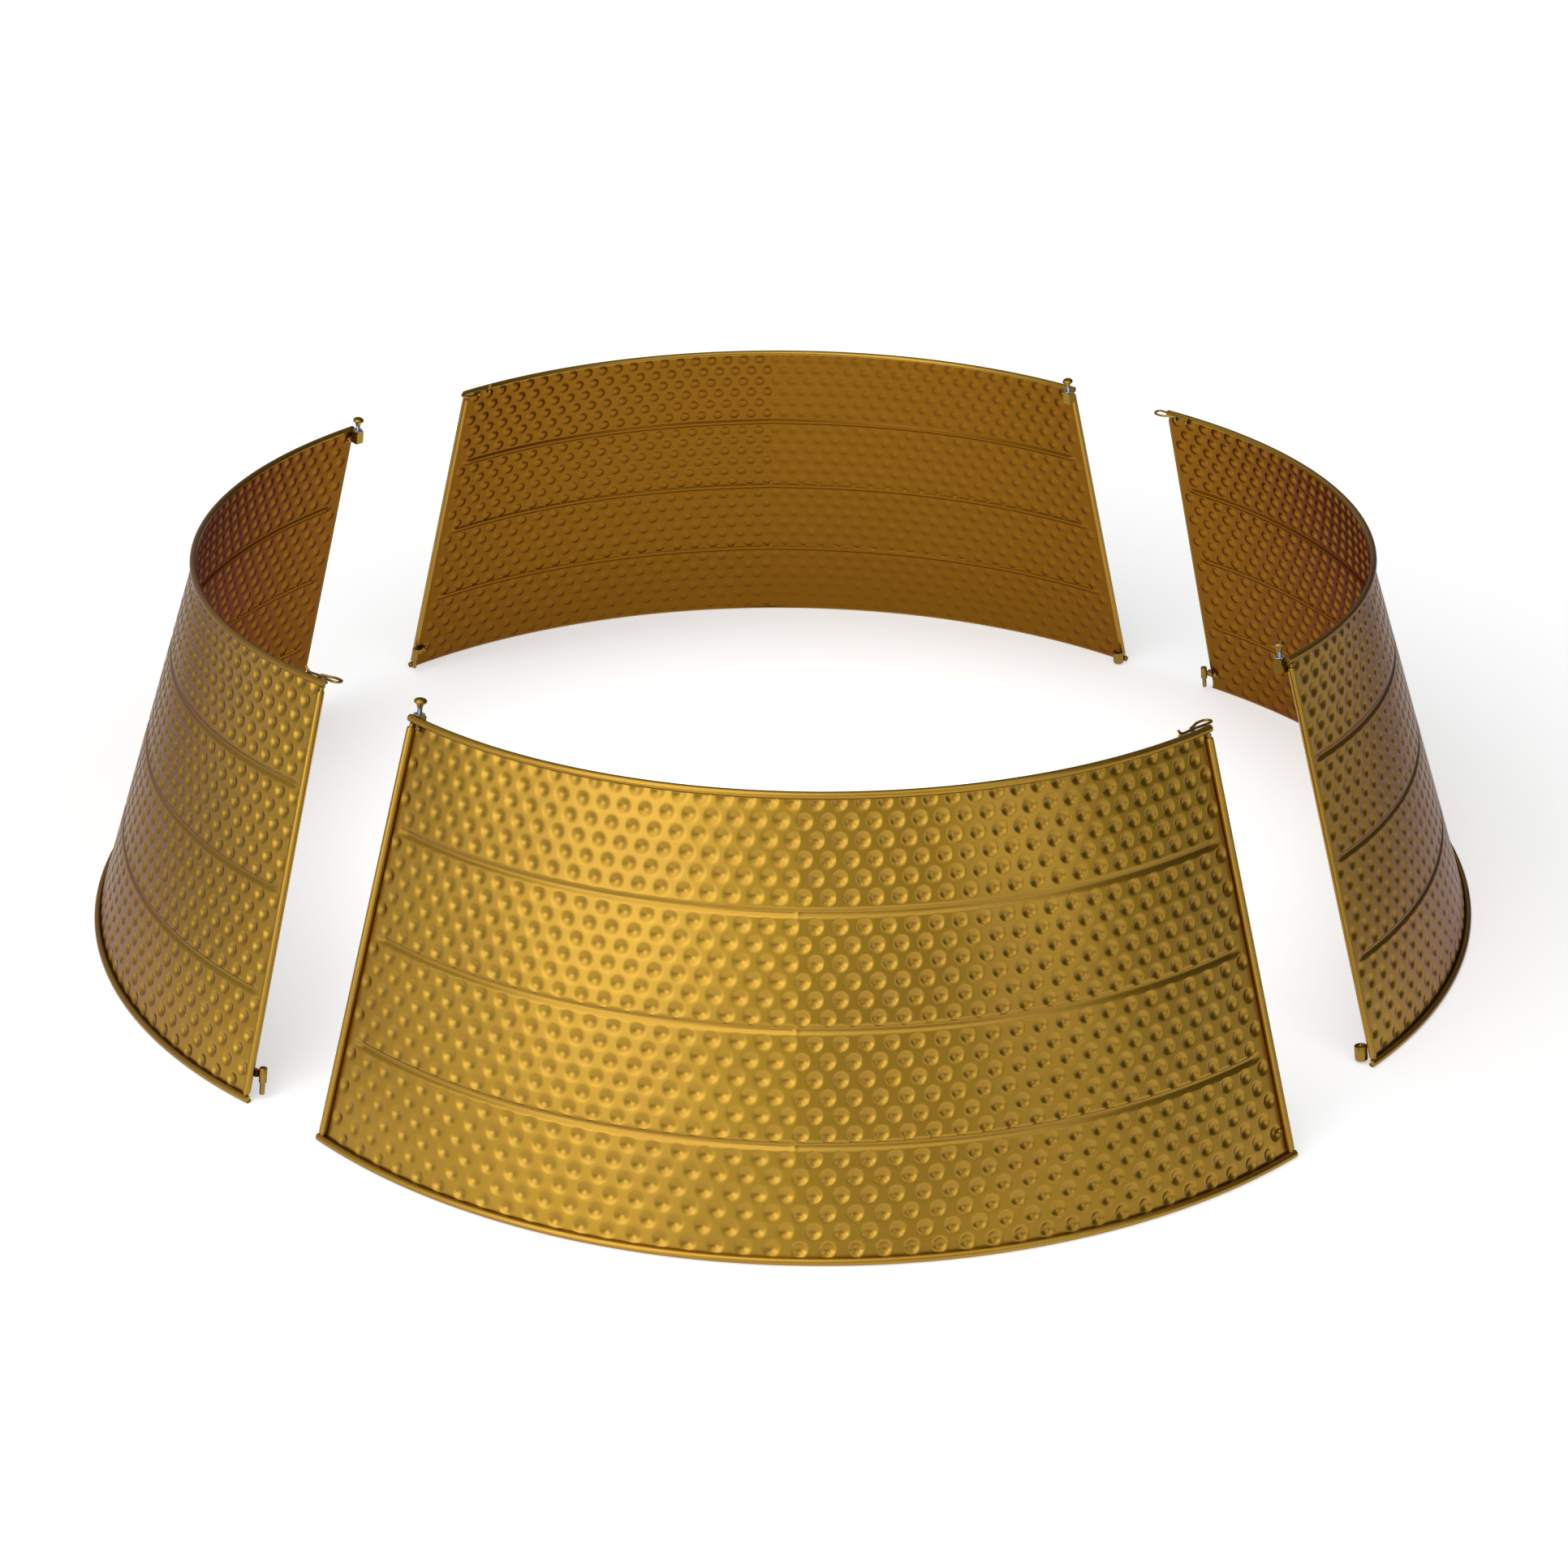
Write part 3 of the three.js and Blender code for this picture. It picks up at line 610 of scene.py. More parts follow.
def side_curl(side):
    """A side edge curled round its wire, drawn in a little where it starts under the rim."""
    plain = np.linspace(side_low, side_high - PINCH_STEPS * PINCH_STEP, SIDE_STEPS)
    drawn_in = side_high - PINCH_STEP * np.arange(PINCH_STEPS - 1, -1, -1)
    points = []
    for level in np.concatenate([plain, drawn_in]):
        radius, turn = curl_outline(lip_turn(level + LIP_SHIFT * side)).T
        radius = radius * (1 - PINCH * max(0.0, 1 - (side_high - level) / PINCH_LENGTH) ** 2)
        across = side * radius * np.sin(turn)
        inward = -bead_out + radius * np.cos(turn)
        points.append(np.stack([across, inward, np.full_like(across, level)], axis=1))
    return moved(frames[side], (np.concatenate(points), strip_faces(len(points), side > 0)))


# %% [markdown]
# ### Welds in the bottom corners
# Where a side edge meets the bottom edge, a dab of weld holds the two wires. It stands up a
# little and catches the light.

# %% Weld dabs
DAB_RINGS, DAB_SIDES = 12, 20
CORNER_DAB, CORNER_LUMPS = (1.5, 1.5, 1.2), 0.09
CORNER_IN, CORNER_SUNK, CORNER_RISE = 0.3, 0.1, 0.5


def dab(place, size, lumps):
    """A rounded dab of weld with an uneven face, from its half sizes in mm."""
    turns = [math.pi * k / DAB_RINGS for k in range(DAB_RINGS + 1)]
    outline = [(math.sin(t), -math.cos(t)) for t in turns]
    outline[0], outline[-1] = (0, -1.0), (0, 1.0)
    points, faces = lathe(outline, DAB_SIDES)
    x, y, z = points.T
    lump = 1 + lumps * np.sin(7 * x + 2) * np.cos(6 * y + 5 * z)
    return points * lump[:, None] * np.array(size) + np.array(place), faces


corner_dabs = [
    moved(frames[side], dab(
        (-side * CORNER_IN, -bead_out - CORNER_SUNK, bead_r + CORNER_RISE),
        CORNER_DAB, CORNER_LUMPS))
    for side in (LOOP_END, SCREW_END)
]
edges = mesh_from("rolled_edges", *joined([
    rim_curl(bottom_wire, -1), rim_curl(top_wire, 1),
    side_curl(LOOP_END), side_curl(SCREW_END), *corner_dabs,
]), sheet_paint)
set_down(edges, "rolled_edges", "gold_sheet", "sheet")

# %% [markdown]
# ## The wires in the edges
# The wires are drawn steel rod. They show only at the cut ends and through the open corners,
# where the paint has reached them.

# %% Wires in the rims and the side edges
PATH_STEPS = 120
OFF_UPRIGHT = 0.001  # wire_along can't start on a path that is exactly upright


def rim_path(centre):
    """Path of a rim wire, which stops just inside its curl."""
    angles = np.linspace(-1, 1, PATH_STEPS) * (rim_reach - FIT / top_sheet_radius)
    radius, height = centre
    return np.stack([radius * np.cos(angles), radius * np.sin(angles),
                     np.full(PATH_STEPS, height)], axis=1)


def side_wire(side):
    """Straight wire of a side edge."""
    ends = np.array([bead_r + FIT, slant - bead_r - FIT])
    path = np.stack([OFF_UPRIGHT * ends, np.full(2, -bead_out), ends], axis=1)
    return moved(frames[side], wire_along(path, wire_r))


for piece, part in (
    ("bottom_wire", wire_along(rim_path(bottom_wire), wire_r)),
    ("top_wire", wire_along(rim_path(top_wire), wire_r)),
    ("loop_side_wire", side_wire(LOOP_END)),
    ("screw_side_wire", side_wire(SCREW_END)),
):
    mesh = mesh_from(f"drawn_{piece}", *part, fitting_paint)
    set_down(mesh, f"drawn_{piece}", "edge_wire", piece)

# %% [markdown]
# ## Seats of the fittings
# All fittings of a joint share one line, which leans 10 degrees from upright, so that a section
# can drop onto its neighbour along it. A seat is a frame whose z axis is that line.

# %% Seats
FITTING_LEAN = math.radians(10)
AXIS_INSIDE = 0.8
BLOCK_WIDTH, BLOCK_HEIGHT, BLOCK_BELOW_RIM = 5.6, 8.4, 2.2
SOCKET_R, SOCKET_LENGTH = 3.7, 9.3
tip = math.atan2(-up[0], up[1]) - FITTING_LEAN


def inset(half_width, length):
    """How far in from the middle of the sheet a fitting has to be to clear it."""
    return SHEET / 2 + FIT + half_width * math.cos(tip) + length * math.sin(max(0.0, -tip))


def slope_at_height(z, y):
    """Distance up the slope at which a point set inward by y has height z."""
    return (z - (bottom_wire[1] + out[1] * (-y - bead_out))) / up[1]


def axis_place(side, s, y):
    """Distance along the rim from a sheet end to the line."""
    own = bead_r - AXIS_INSIDE
    radius = bottom_wire[0] + up[0] * s + out[0] * (-y - bead_out)
    return -own if side == SCREW_END else 2 * radius * math.tan(half_gap_angle) - own


def seat(side, y, s):
    """Seat of a fitting in its section's own place."""
    lean = np.eye(4)
    lean[1:3, 1:3] = [[math.cos(tip), -math.sin(tip)], [math.sin(tip), math.cos(tip)]]
    lean[:3, 3] = (axis_place(side, s, y), y, s)
    return frames[side] @ lean


block_inset = inset(BLOCK_WIDTH / 2, BLOCK_HEIGHT)
block_top = slope_at_height(HEIGHT - BLOCK_BELOW_RIM, block_inset)
socket_inset = inset(SOCKET_R, SOCKET_LENGTH)
socket_rise = SOCKET_LENGTH * math.cos(FITTING_LEAN) + SOCKET_R * math.sin(FITTING_LEAN)
socket_top = slope_at_height(FIT + socket_rise, socket_inset)
print(f"upper fittings are {block_inset:.2f} mm in, lower ones {socket_inset:.2f} mm")

# %% [markdown]
# ## The screws
# Each screw end has a pan head screw with a cross slot, half driven into its block. The paint
# was sprayed with the screw in place, so the head and the neck under it are gold, while the
# shank that was inside the block is bright. The slot is pressed into a fine disc of points, and
# the thread is a ridge that climbs 0.7 mm in each turn.

# %% Screw heads
SCREW_D, THREAD_PITCH = 3.0, 0.7
SCREW_LENGTH, SCREW_RAISED = 13.0, 6.2
NECK_LENGTH, NECK_D = 2.6, 4.2
HEAD_D, HEAD_HEIGHT = 7.1, 2.6
WASHER_D, WASHER_THICK = 6.4, 0.6
SLOT_LENGTH, SLOT_WIDTH, SLOT_DEPTH = 3.6, 0.9, 1.3
SLOT_WALL, SLOT_RUNOUT, SLOT_CURVE = 0.2, 0.7, 0.6
NECK_RINGS, NECK_RIPPLE = 8, 0.12
HEAD_SIDES, CROWN_FROM = 72, 0.6
head_foot = FIT + WASHER_THICK + SCREW_RAISED
neck_foot = head_foot - NECK_LENGTH
HEAD_SIDE = [
    (0.86, 0.0), (0.93, 0.02), (0.98, 0.1), (1.0, 0.24), (0.985, 0.4), (0.93, 0.58), (0.84, 0.73)]
CROWN = [
    (0.71, 0.86), (0.62, 0.905), (0.52, 0.945), (0.46, 0.965), (0.4, 0.98), (0.34, 0.99),
    (0.28, 0.995), (0.23, 1.0), (0.18, 1.0), (0.14, 1.0), (0.1, 1.0), (0.06, 1.0), (0.03, 1.0),
    (0, 1.0)]


def cross_slot(points):
    """Depth of the cross slot at points on the head."""
    near = np.minimum(np.abs(points[:, 0]), np.abs(points[:, 1]))
    far = np.maximum(np.abs(points[:, 0]), np.abs(points[:, 1]))
    across = np.clip((SLOT_WIDTH / 2 - near) / SLOT_WALL + 0.5, 0, 1)
    along = np.clip((SLOT_LENGTH / 2 - far) / SLOT_RUNOUT, 0, 1)
    return SLOT_DEPTH * across * along ** SLOT_CURVE


def crosshead():
    """Pan head with its cross slot, and the painted neck below it."""
    neck = []
    for k in range(NECK_RINGS + 1):
        share = k / NECK_RINGS
        radius = SCREW_D / 2 + (NECK_D - SCREW_D) / 2 * share + NECK_RIPPLE * (k % 2)
        neck.append((radius, neck_foot + NECK_LENGTH * share))
    head = [(HEAD_D / 2 * a, head_foot + HEAD_HEIGHT * b) for a, b in HEAD_SIDE + CROWN]
    points, faces = lathe([(0, neck_foot)] + neck + head, HEAD_SIDES)
    on_crown = points[:, 2] > head_foot + HEAD_HEIGHT * CROWN_FROM
    points[:, 2] -= cross_slot(points) * on_crown
    return points, faces


block_seat = seat(SCREW_END, block_inset, block_top)
set_down(mesh_from("crosshead_screw", *moved(block_seat, crosshead()), fitting_paint),
         "crosshead_screw", "gold_fitting", "screw_head")

# %% Threaded shanks
THREAD_DEPTH, TIP_CHAMFER = 0.36, 0.5
SHANK_SIDES, RINGS_PER_TURN = 36, 10


def threaded_shank():
    """Shank with a rolled thread and a chamfered tip."""
    foot, top = head_foot - SCREW_LENGTH, neck_foot - FIT / 2
    height = np.arange(foot, top, THREAD_PITCH / RINGS_PER_TURN)[:, None]
    turn = (np.arange(SHANK_SIDES) / SHANK_SIDES)[None, :]
    ridge = 1 - np.abs(2 * ((height / THREAD_PITCH - turn) % 1) - 1)
    radius = SCREW_D / 2 - THREAD_DEPTH * (1 - ridge)
    radius = np.minimum(radius, SCREW_D / 2 - TIP_CHAMFER + (height - foot))
    angle = 2 * math.pi * turn
    points = np.stack([radius * np.cos(angle), radius * np.sin(angle),
                       np.broadcast_to(height, radius.shape)], axis=-1)
    rings = [list(range(k * SHANK_SIDES, (k + 1) * SHANK_SIDES)) for k in range(len(height))]
    return points.reshape(-1, 3), rings_to_faces(rings, closed_ends=True)


set_down(mesh_from("threaded_shank", *moved(block_seat, threaded_shank()), bare_steel),
         "threaded_shank", "bare_steel", "screw_shank")

# %% [markdown]
# ## Washers and rivets
# A stamped washer has one rounded edge from the die and one sharper edge. The rivets have a
# domed head inside and a rolled ring outside, where the tool spread their hollow end.

# %% Washers
WASHER_EDGE, WASHER_SIDES = 0.15, 56
washer_bore = SCREW_D / 2 + FIT


def washer():
    """Plain stamped washer on the block."""
    low, high, outer, edge = FIT, FIT + WASHER_THICK, WASHER_D / 2, WASHER_EDGE
    return lathe([
        (washer_bore, low), (outer - edge / 2, low), (outer, low + edge), (outer, high - edge),
        (outer - edge, high), (washer_bore + edge, high), (washer_bore, high - edge),
        (washer_bore, low)], WASHER_SIDES)


set_down(mesh_from("stamped_washer", *moved(block_seat, washer()), bare_steel),
         "stamped_washer", "bare_steel", "washer")

# %% Rivets
RIVET_D, DOME_D, DOME_HEIGHT = 1.9, 3.8, 1.5
RING_D, RING_HEIGHT = 3.0, 0.6
RING_SUNK = 0.1
RIVET_MARGIN, STRAP_THICK = 0.6, 1.5
RIVET_SIDES, DOME_TURNS = 36, np.linspace(0.15, 1.45, 9)
rivet_in = bead_r + RING_D / 2 + RIVET_MARGIN
strap_face = SHEET / 2 + FIT + STRAP_THICK
block_rivet_level = slant - bead_r - RING_D / 2 - RIVET_MARGIN


def rivet(side, level):
    """Rivet through the sheet: rolled ring outside, stem, and domed head inside."""
    ring, dome = -SHEET / 2 - FIT, strap_face + FIT
    r, d, h = RING_D / 2, DOME_D / 2, RING_HEIGHT
    outline = [
        (0, ring - RING_SUNK), (0.35 * r, ring - RING_SUNK), (0.5 * r, ring - 0.8 * h),
        (0.65 * r, ring - h), (0.82 * r, ring - 0.85 * h), (0.96 * r, ring - 0.4 * h),
        (r, ring), (RIVET_D / 2, ring), (RIVET_D / 2, dome), (d, dome)]
    outline += [(d * math.cos(t), dome + DOME_HEIGHT * math.sin(t)) for t in DOME_TURNS]
    points, faces = lathe(outline + [(0, dome + DOME_HEIGHT)], RIVET_SIDES)
    points = points[:, [0, 2, 1]] * (1, 1, -1) + (-side * rivet_in, 0, level)
    return moved(frames[side], (points, faces))


pin_seat = seat(LOOP_END, socket_inset, socket_top)
LUG_D, LUG_LENGTH, LUG_CHAMFER = 4.5, 8.8, 0.75
pin_rivet_level = socket_top + math.cos(tip) * (FIT + LUG_LENGTH / 2)
for piece, side, level in (
    ("block_rivet", SCREW_END, block_rivet_level),
    ("pin_rivet", LOOP_END, pin_rivet_level),
):
    mesh = mesh_from(f"domed_{piece}", *rivet(side, level), fitting_paint)
    set_down(mesh, f"domed_{piece}", "gold_fitting", piece)

# %% [markdown]
# ## Pins and sockets
# At the foot of a joint a stepped pin drops into a round cup. Both are turned from bar on a
# lathe, so their outlines are turned here too, with their edges eased.

# %% Pins
PIN_D, PIN_LENGTH, PIN_PLAY = 3.0, 7.8, 0.4


def turned_pin():
    """Lug with a thinner pin under it."""
    r, lug, foot, top = PIN_D / 2, LUG_D / 2, FIT - PIN_LENGTH, FIT + LUG_LENGTH
    ease = LUG_CHAMFER / 2
    return lathe([
        (0, foot), (0.45 * r, foot + 0.02), (0.75 * r, foot + 0.2), (0.94 * r, foot + 0.5),
        (r, foot + 0.8), (r, FIT - LUG_CHAMFER), (lug - 0.1, FIT - 0.05), (lug, FIT + 0.1),
        (lug, top - ease), (lug - 0.3 * ease, top - 0.3 * ease), (lug - ease, top),
        (0.6, top), (0, top)])


set_down(mesh_from("turned_pin", *moved(pin_seat, turned_pin()), fitting_paint),
         "turned_pin", "gold_fitting", "pin")

# %% Sockets
SOCKET_FLOOR, SOCKET_ROUND, LIP = 1.1, 1.4, 0.25
SOCKET_SIDES, ROUND_TURNS = 48, np.linspace(0, math.pi / 2, 8)


def turned_socket():
    """Round cup with an eased lip."""
    r, bore, foot = SOCKET_R, PIN_D / 2 + PIN_PLAY, -SOCKET_LENGTH
    bed = foot + SOCKET_FLOOR
    bottom = [(r - SOCKET_ROUND * (1 - math.sin(t)), foot + SOCKET_ROUND * (1 - math.cos(t)))
              for t in ROUND_TURNS]
    return lathe([(0, foot)] + bottom + [
        (r, -LIP), (r - LIP * 0.3, -LIP * 0.3), (r - LIP, 0), (bore + LIP, 0), (bore, -LIP),
        (bore, bed + 0.3), (0.5, bed), (0, bed)], SOCKET_SIDES)


socket_seat = seat(SCREW_END, socket_inset, socket_top)
set_down(mesh_from("turned_socket", *moved(socket_seat, turned_socket()), fitting_paint),
         "turned_socket", "gold_fitting", "socket")

# %% [markdown]
# ## Eye loops
# The eye is one piece of wire, bent by hand tools into a loop that slips round a screw. Its leg
# lies along the sheet under the top edge, holds by two dabs of weld, and turns up at its end. A
# wire takes no sharp corners, so its path is a smooth curve through the places where it bends.

# %% Path of the wire
EYE_WIRE_D, EYE_TIP, EYE_SLOT = 1.5, 5.2, 4.2
EYE_LEG, EYE_UPTURN = 20.5, 2.2
WELD_D, WELD_HEIGHT, WELD_LUMPS = 2.6, 5.2, 0.05
WELD_SHRINK = np.array([0.97, 0.97, 0.95])
WELD_PLACES = (9.3, 18.6)
BEND_STEPS, CURVE_STEPS, EYE_SIDES = 6, 12, 18


def smooth_path(corners, steps):
    """A smooth curve through its corners, with more room round the wider bends."""
    p = np.asarray(corners, float)
    p = np.vstack([2 * p[0] - p[1], p, 2 * p[-1] - p[-2]])
    curve = []
    for a, b, c, d in zip(p, p[1:], p[2:], p[3:]):
        t0, t1, t2, t3 = np.cumsum([0] + [np.linalg.norm(v) ** 0.5 for v in (b - a, c - b, d - c)])
        t = np.linspace(t1, t2, steps, endpoint=False)[:, None]
        ab = (t1 - t) / (t1 - t0) * a + (t - t0) / (t1 - t0) * b
        bc = (t2 - t) / (t2 - t1) * b + (t - t1) / (t2 - t1) * c
        cd = (t3 - t) / (t3 - t2) * c + (t - t2) / (t3 - t2) * d
        abc = (t2 - t) / (t2 - t0) * ab + (t - t0) / (t2 - t0) * bc
        bcd = (t3 - t) / (t3 - t1) * bc + (t - t1) / (t3 - t1) * cd
        curve.append((t2 - t) / (t2 - t1) * abc + (t - t1) / (t2 - t1) * bcd)
    return np.concatenate(curve + [p[-2:-1]])


# %% Eye loops with their welds
def bent_eye():
    """Eye loop of bent wire, with two dabs of weld."""
    r = EYE_WIRE_D / 2
    level, half_slot = FIT + r, EYE_SLOT / 2 + r
    bend_x = EYE_TIP - r - half_slot
    own_edge = -axis_place(LOOP_END, block_top, block_inset)
    sheet_y = (SHEET / 2 - block_inset + level * math.sin(tip)) / math.cos(tip)

    def beside(x):
        """How far in the sheet's face is at a place along the wire."""
        return sheet_y + FIT + (x - own_edge) ** 2 / (2 * top_sheet_radius)

    welds = [own_edge + bead_r - place for place in WELD_PLACES]
    leg_end = own_edge + bead_r - EYE_LEG
    start_x, start_y = welds[0], beside(welds[0]) + r + EYE_WIRE_D + FIT
    corners = [
        (start_x, start_y, level),
        ((start_x - half_slot) / 2, (start_y - FIT + half_slot) / 2, level),
        (-half_slot, half_slot, level)]
    corners += [(bend_x + half_slot * math.cos(t), half_slot * math.sin(t), level)
                for t in np.linspace(math.pi / 2, -math.pi / 2, BEND_STEPS + 1)]
    corners += [
        (own_edge, beside(own_edge), level), (start_x, beside(start_x) + r, level),
        (leg_end + EYE_UPTURN, beside(leg_end) + r, level),
        (leg_end, beside(leg_end) + r, level + EYE_UPTURN)]
    parts = [wire_along(smooth_path(corners, CURVE_STEPS), r, EYE_SIDES)]
    weld_size = np.array([WELD_D, WELD_D, WELD_HEIGHT]) / 2 * WELD_SHRINK
    for x in welds:
        place = (x, beside(x - WELD_D / 2) + WELD_D / 2, level + r - WELD_HEIGHT / 2)
        parts.append(dab(place, weld_size, WELD_LUMPS))
    return joined(parts)


eye_seat = seat(LOOP_END, block_inset, block_top)
set_down(mesh_from("bent_eye", *moved(eye_seat, bent_eye()), fitting_paint),
         "bent_eye", "gold_fitting", "eye_loop")

# %% [markdown]
# ## The floor
# The photograph is a product shot on white. The floor is matt and pale, and takes the soft
# shadows. A glow of its own makes it white. The camera and reflections see that glow, and matt
# surfaces get no light from it. It is stronger in the middle of the ring and far out, and
# weaker round the sections, where it would wash out their shadows. Beside the picture's edges
# it is left out up to a distance, so the side sections' outer faces mirror something darker.

# %% Floor
FLOOR_HALF, FLOOR_DROP = 40.0, 0.0003
FLOOR_TONE, WHITE = linear("#dcdcdc"), linear("#ffffff")
OUTWARD_FROM, OUTWARD_TO = 0.5, 1.6
OUTWARD_LOW, OUTWARD_HIGH = 0.48, 0.9
MIDDLE_FROM, MIDDLE_TO, MIDDLE_GLOW = 0.1, 0.42, 0.5
FAR_FROM, FAR_TO = 1.3, 2.4
# How far ahead of the camera a place on the floor is, from its y, and the tangents of the
# angle beside the camera's line between which the glow fades out.
AHEAD_PER_Y, AHEAD_AT_ORIGIN, LEAST_AHEAD = 0.9, 1.94, 0.1
EDGE_FROM, EDGE_TO = 0.28, 0.38
SMOOTH = {"interpolation_type": "SMOOTHSTEP"}

floor_mesh = bpy.data.meshes.new("floor")
corners = [(x * FLOOR_HALF, y * FLOOR_HALF, 0) for x, y in ((-1, -1), (1, -1), (1, 1), (-1, 1))]
floor_mesh.from_pydata(corners, [], [[0, 1, 2, 3]])
floor = bpy.data.objects.new("floor", floor_mesh)
bpy.context.scene.collection.objects.link(floor)
floor.location.z = -FLOOR_DROP
floor_paint, tree = new_material("white_studio_floor")
path = add(tree, "ShaderNodeLightPath")
seen = summed(tree, "MAXIMUM", path.outputs["Is Camera Ray"], path.outputs["Is Glossy Ray"])
seen = summed(tree, "MAXIMUM", seen, path.outputs["Is Transmission Ray"])
place = add(tree, "ShaderNodeTexCoord")
spot = add(tree, "ShaderNodeSeparateXYZ", {"Vector": place.outputs["Object"]})
distance = add(tree, "ShaderNodeVectorMath", {0: place.outputs["Object"]}, operation="LENGTH")
distance = distance.outputs["Value"]
outward = ranged(tree, distance, OUTWARD_FROM, OUTWARD_TO, OUTWARD_LOW, OUTWARD_HIGH)
middle = ranged(tree, distance, MIDDLE_FROM, MIDDLE_TO, MIDDLE_GLOW, 0.0)
lift = summed(tree, "ADD", outward, middle)
ahead = summed(tree, "MULTIPLY_ADD", spot.outputs["Y"], AHEAD_PER_Y, AHEAD_AT_ORIGIN)
ahead = summed(tree, "MAXIMUM", ahead, LEAST_AHEAD)
aside = summed(tree, "ABSOLUTE", summed(tree, "DIVIDE", spot.outputs["X"], ahead))
in_frame = ranged(tree, aside, EDGE_FROM, EDGE_TO, 1.0, 0.0, **SMOOTH)
far = ranged(tree, distance, FAR_FROM, FAR_TO, **SMOOTH)
lift = summed(tree, "MULTIPLY", lift, summed(tree, "MAXIMUM", in_frame, far))
strength = summed(tree, "MULTIPLY", seen, lift)
matt = add(tree, "ShaderNodeBsdfDiffuse", {"Color": FLOOR_TONE})
glow = add(tree, "ShaderNodeEmission", {"Color": WHITE, "Strength": strength})
both = add(tree, "ShaderNodeAddShader", {0: matt.outputs["BSDF"], 1: glow.outputs["Emission"]})
add(tree, "ShaderNodeOutputMaterial", {"Surface": both.outputs["Shader"]})
floor_mesh.materials.append(floor_paint)
print("floor is", 2 * FLOOR_HALF, "m wide")

# %% [markdown]
# ## The room
# The room's own light is soft and dim. Most of it comes from the left, because the
# photograph's right section is in shade, and a little more comes from the front. A plain
# gradient does this, since nothing of the room itself is in the picture.

# %% World
ROOM_LEFT, ROOM_RIGHT, ROOM_FRONT = 0.5, 0.1, 0.1
SIDE_FROM, SIDE_TO = -0.8, 0.8
FRONT_FROM, FRONT_TO = -0.9, -0.2
world = bpy.data.worlds.new("studio")
bpy.context.scene.world = world
world.use_nodes = True
tree = world.node_tree
tree.nodes.clear()
place = add(tree, "ShaderNodeTexCoord")
way = add(tree, "ShaderNodeSeparateXYZ", {"Vector": place.outputs["Generated"]})
side = ranged(tree, way.outputs["X"], SIDE_FROM, SIDE_TO, ROOM_LEFT, ROOM_RIGHT, **SMOOTH)
front = ranged(tree, way.outputs["Y"], FRONT_FROM, FRONT_TO, ROOM_FRONT, 0.0, **SMOOTH)
air = add(tree, "ShaderNodeBackground", {
    "Color": WHITE, "Strength": summed(tree, "ADD", side, front)})
add(tree, "ShaderNodeOutputWorld", {"Surface": air.outputs["Background"]})
print("the room's light is", ROOM_LEFT, "on the left and", ROOM_RIGHT, "on the right")

# %% [markdown]
# ## The lamps
# Low soft lights stand at the left and right front, and give the two pale bands on the front
# section. The left one has a wider, weaker one round it, which softens its band. A higher light
# over each makes the bright lower edge of each pit. One in front and a weak one above fill
# what lies between. Together they light the object at a plain level, at which a colour renders
# about as it is written.

# %% Lamps
AIM = Vector((0.0, -0.2, 0.12))
ENERGY_PER_RADIANCE = 4  # W that an area light takes for each m2 and each unit of radiance


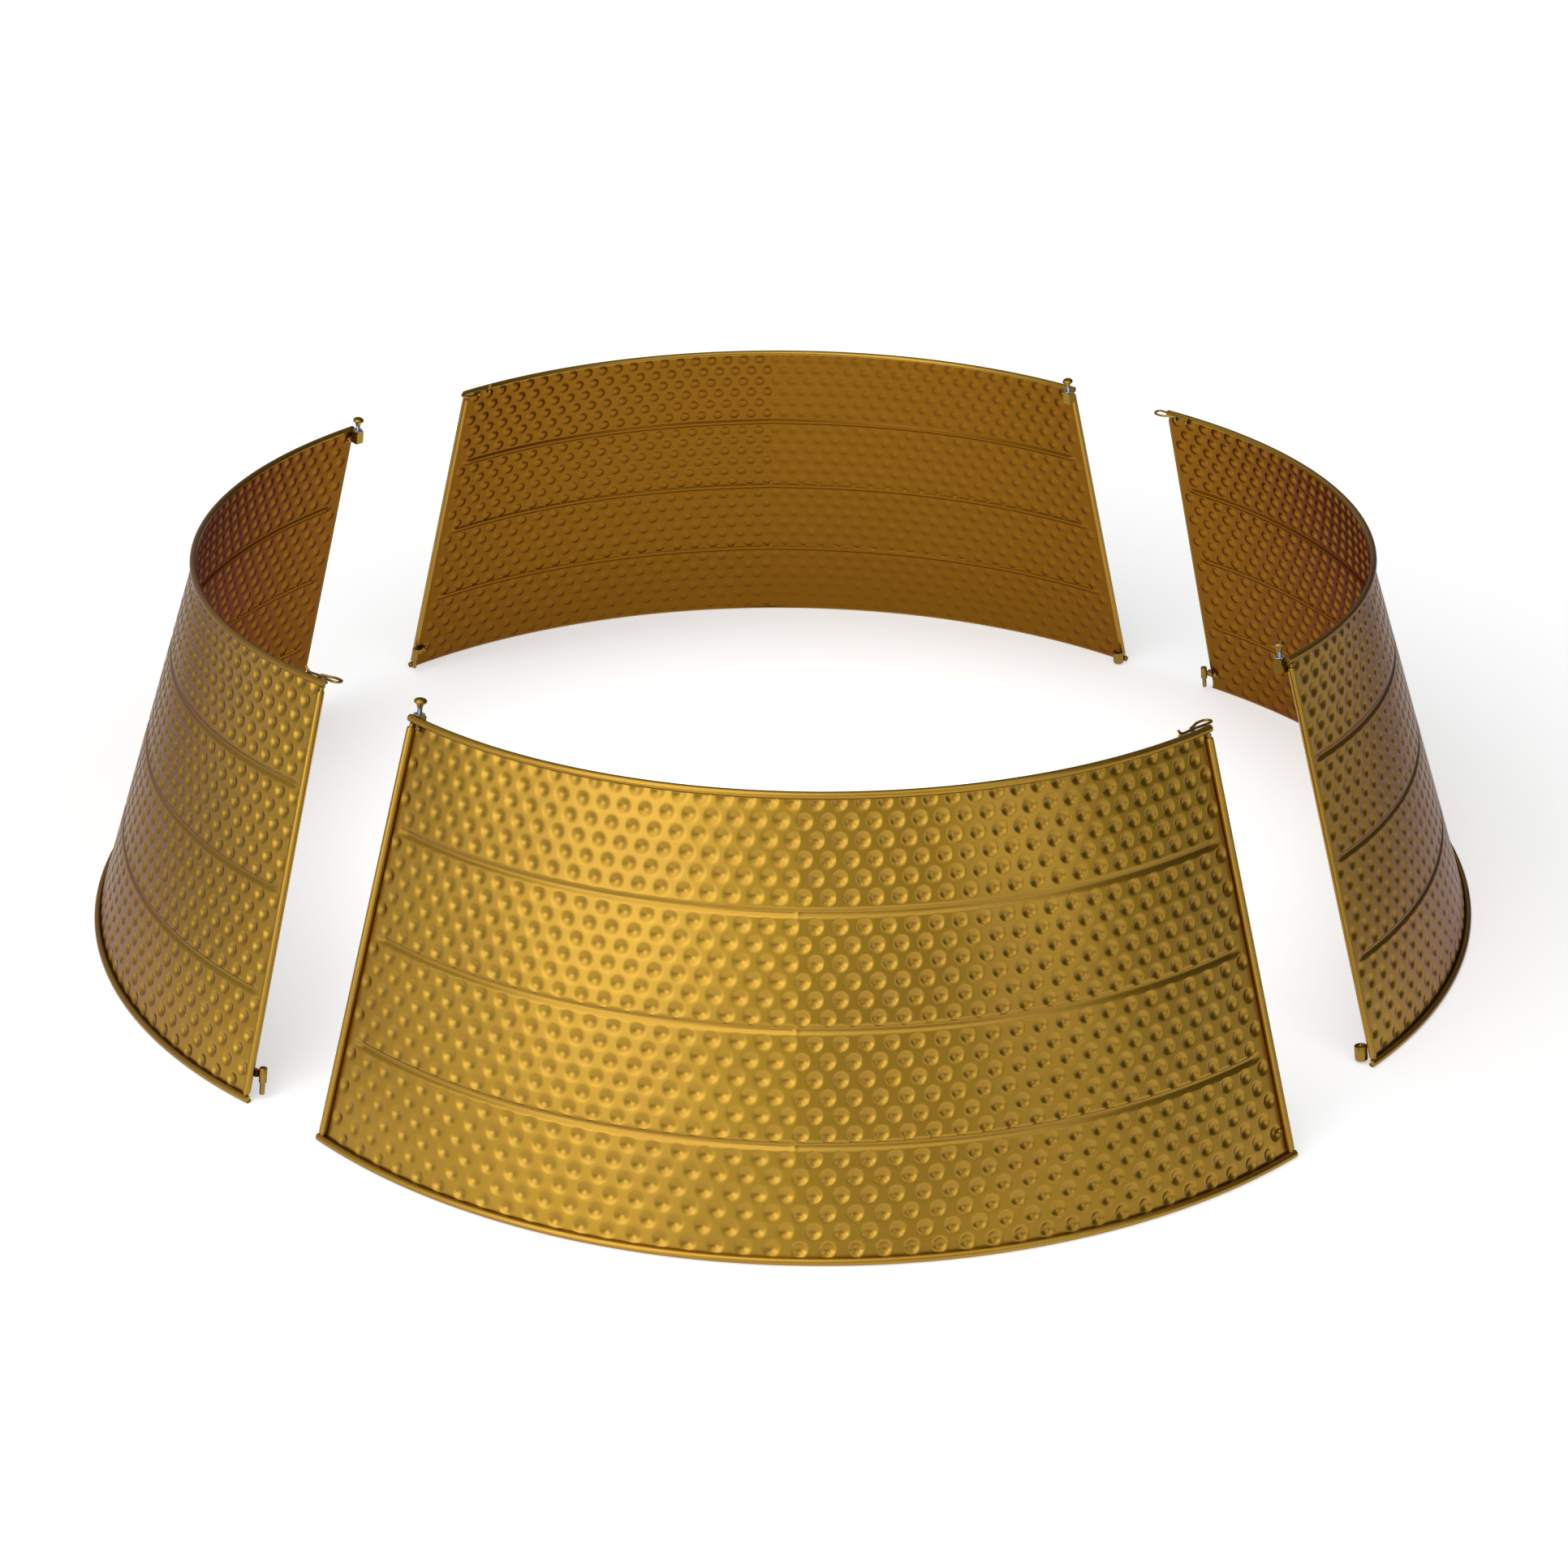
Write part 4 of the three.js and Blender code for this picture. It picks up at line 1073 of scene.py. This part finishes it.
def soft_light(name, bearing, height_angle, distance, size, radiance):
    """A soft light, turned to the object. Its bearing is left of the camera's side."""
    lamp = bpy.data.lights.new(name, "AREA")
    lamp.shape = "RECTANGLE"
    lamp.size, lamp.size_y = size
    lamp.energy = radiance * ENERGY_PER_RADIANCE * size[0] * size[1]
    obj = bpy.data.objects.new(name, lamp)
    bpy.context.scene.collection.objects.link(obj)
    turn, rise = math.radians(bearing), math.radians(height_angle)
    toward = Vector((
        -math.sin(turn) * math.cos(rise), -math.cos(turn) * math.cos(rise), math.sin(rise)))
    obj.location = AIM + toward * distance
    obj.rotation_euler = (-toward).to_track_quat("-Z", "Y").to_euler()
    print(f"{name}: {lamp.energy:.0f} W")


# Each row: bearing and height angle in degrees, distance and size in m, radiance.
soft_light("left_wide_light", 47, 17, 2.6, (2.9, 1.4), 0.75)
soft_light("left_light", 40, 17, 2.5, (1.3, 1.3), 1.1)
soft_light("left_upper_light", 38, 55, 2.6, (2.2, 1.7), 1.6)
soft_light("front_light", 0, 30, 2.6, (1.4, 0.9), 0.9)
soft_light("right_light", -41, 17, 2.6, (1.1, 1.2), 0.9)
soft_light("right_upper_light", -41, 55, 2.6, (1.3, 1.4), 1.0)
soft_light("top_light", 0, 88, 2.6, (1.6, 1.6), 0.5)

# %% [markdown]
# ## Camera
# The camera's lens, place and tilt were worked out from the ends and rims of the sections in
# the photograph. It looks down by 26 degrees from a little over 1.9 m away.

# %% Camera
FOCAL_PX, FRAME_PX, SENSOR = 3692.36, 1932.0, 36.0
PITCH, YAW, ROLL = (math.radians(v) for v in (25.846, 0.56, 0.042))
CAMERA_PLACE = Vector((-16.817, -1722.609, 895.515)) * MM
FAR_CLIP = 200
look = Vector((
    math.sin(YAW) * math.cos(PITCH), math.cos(YAW) * math.cos(PITCH), -math.sin(PITCH)))
level_right = Vector((math.cos(YAW), -math.sin(YAW), 0))
level_up = level_right.cross(look)
right = math.cos(ROLL) * level_right + math.sin(ROLL) * level_up
upward = -math.sin(ROLL) * level_right + math.cos(ROLL) * level_up
camera_data = bpy.data.cameras.new("camera")
camera_data.sensor_width = SENSOR
camera_data.lens = FOCAL_PX / FRAME_PX * SENSOR
camera_data.clip_end = FAR_CLIP
camera = bpy.data.objects.new("camera", camera_data)
bpy.context.scene.collection.objects.link(camera)
camera.matrix_world = Matrix([
    (right.x, upward.x, -look.x, CAMERA_PLACE.x),
    (right.y, upward.y, -look.y, CAMERA_PLACE.y),
    (right.z, upward.z, -look.z, CAMERA_PLACE.z),
    (0, 0, 0, 1),
])
bpy.context.scene.camera = camera
bpy.context.scene.view_settings.view_transform = "Standard"
print("camera lens", round(camera_data.lens, 2), "mm")
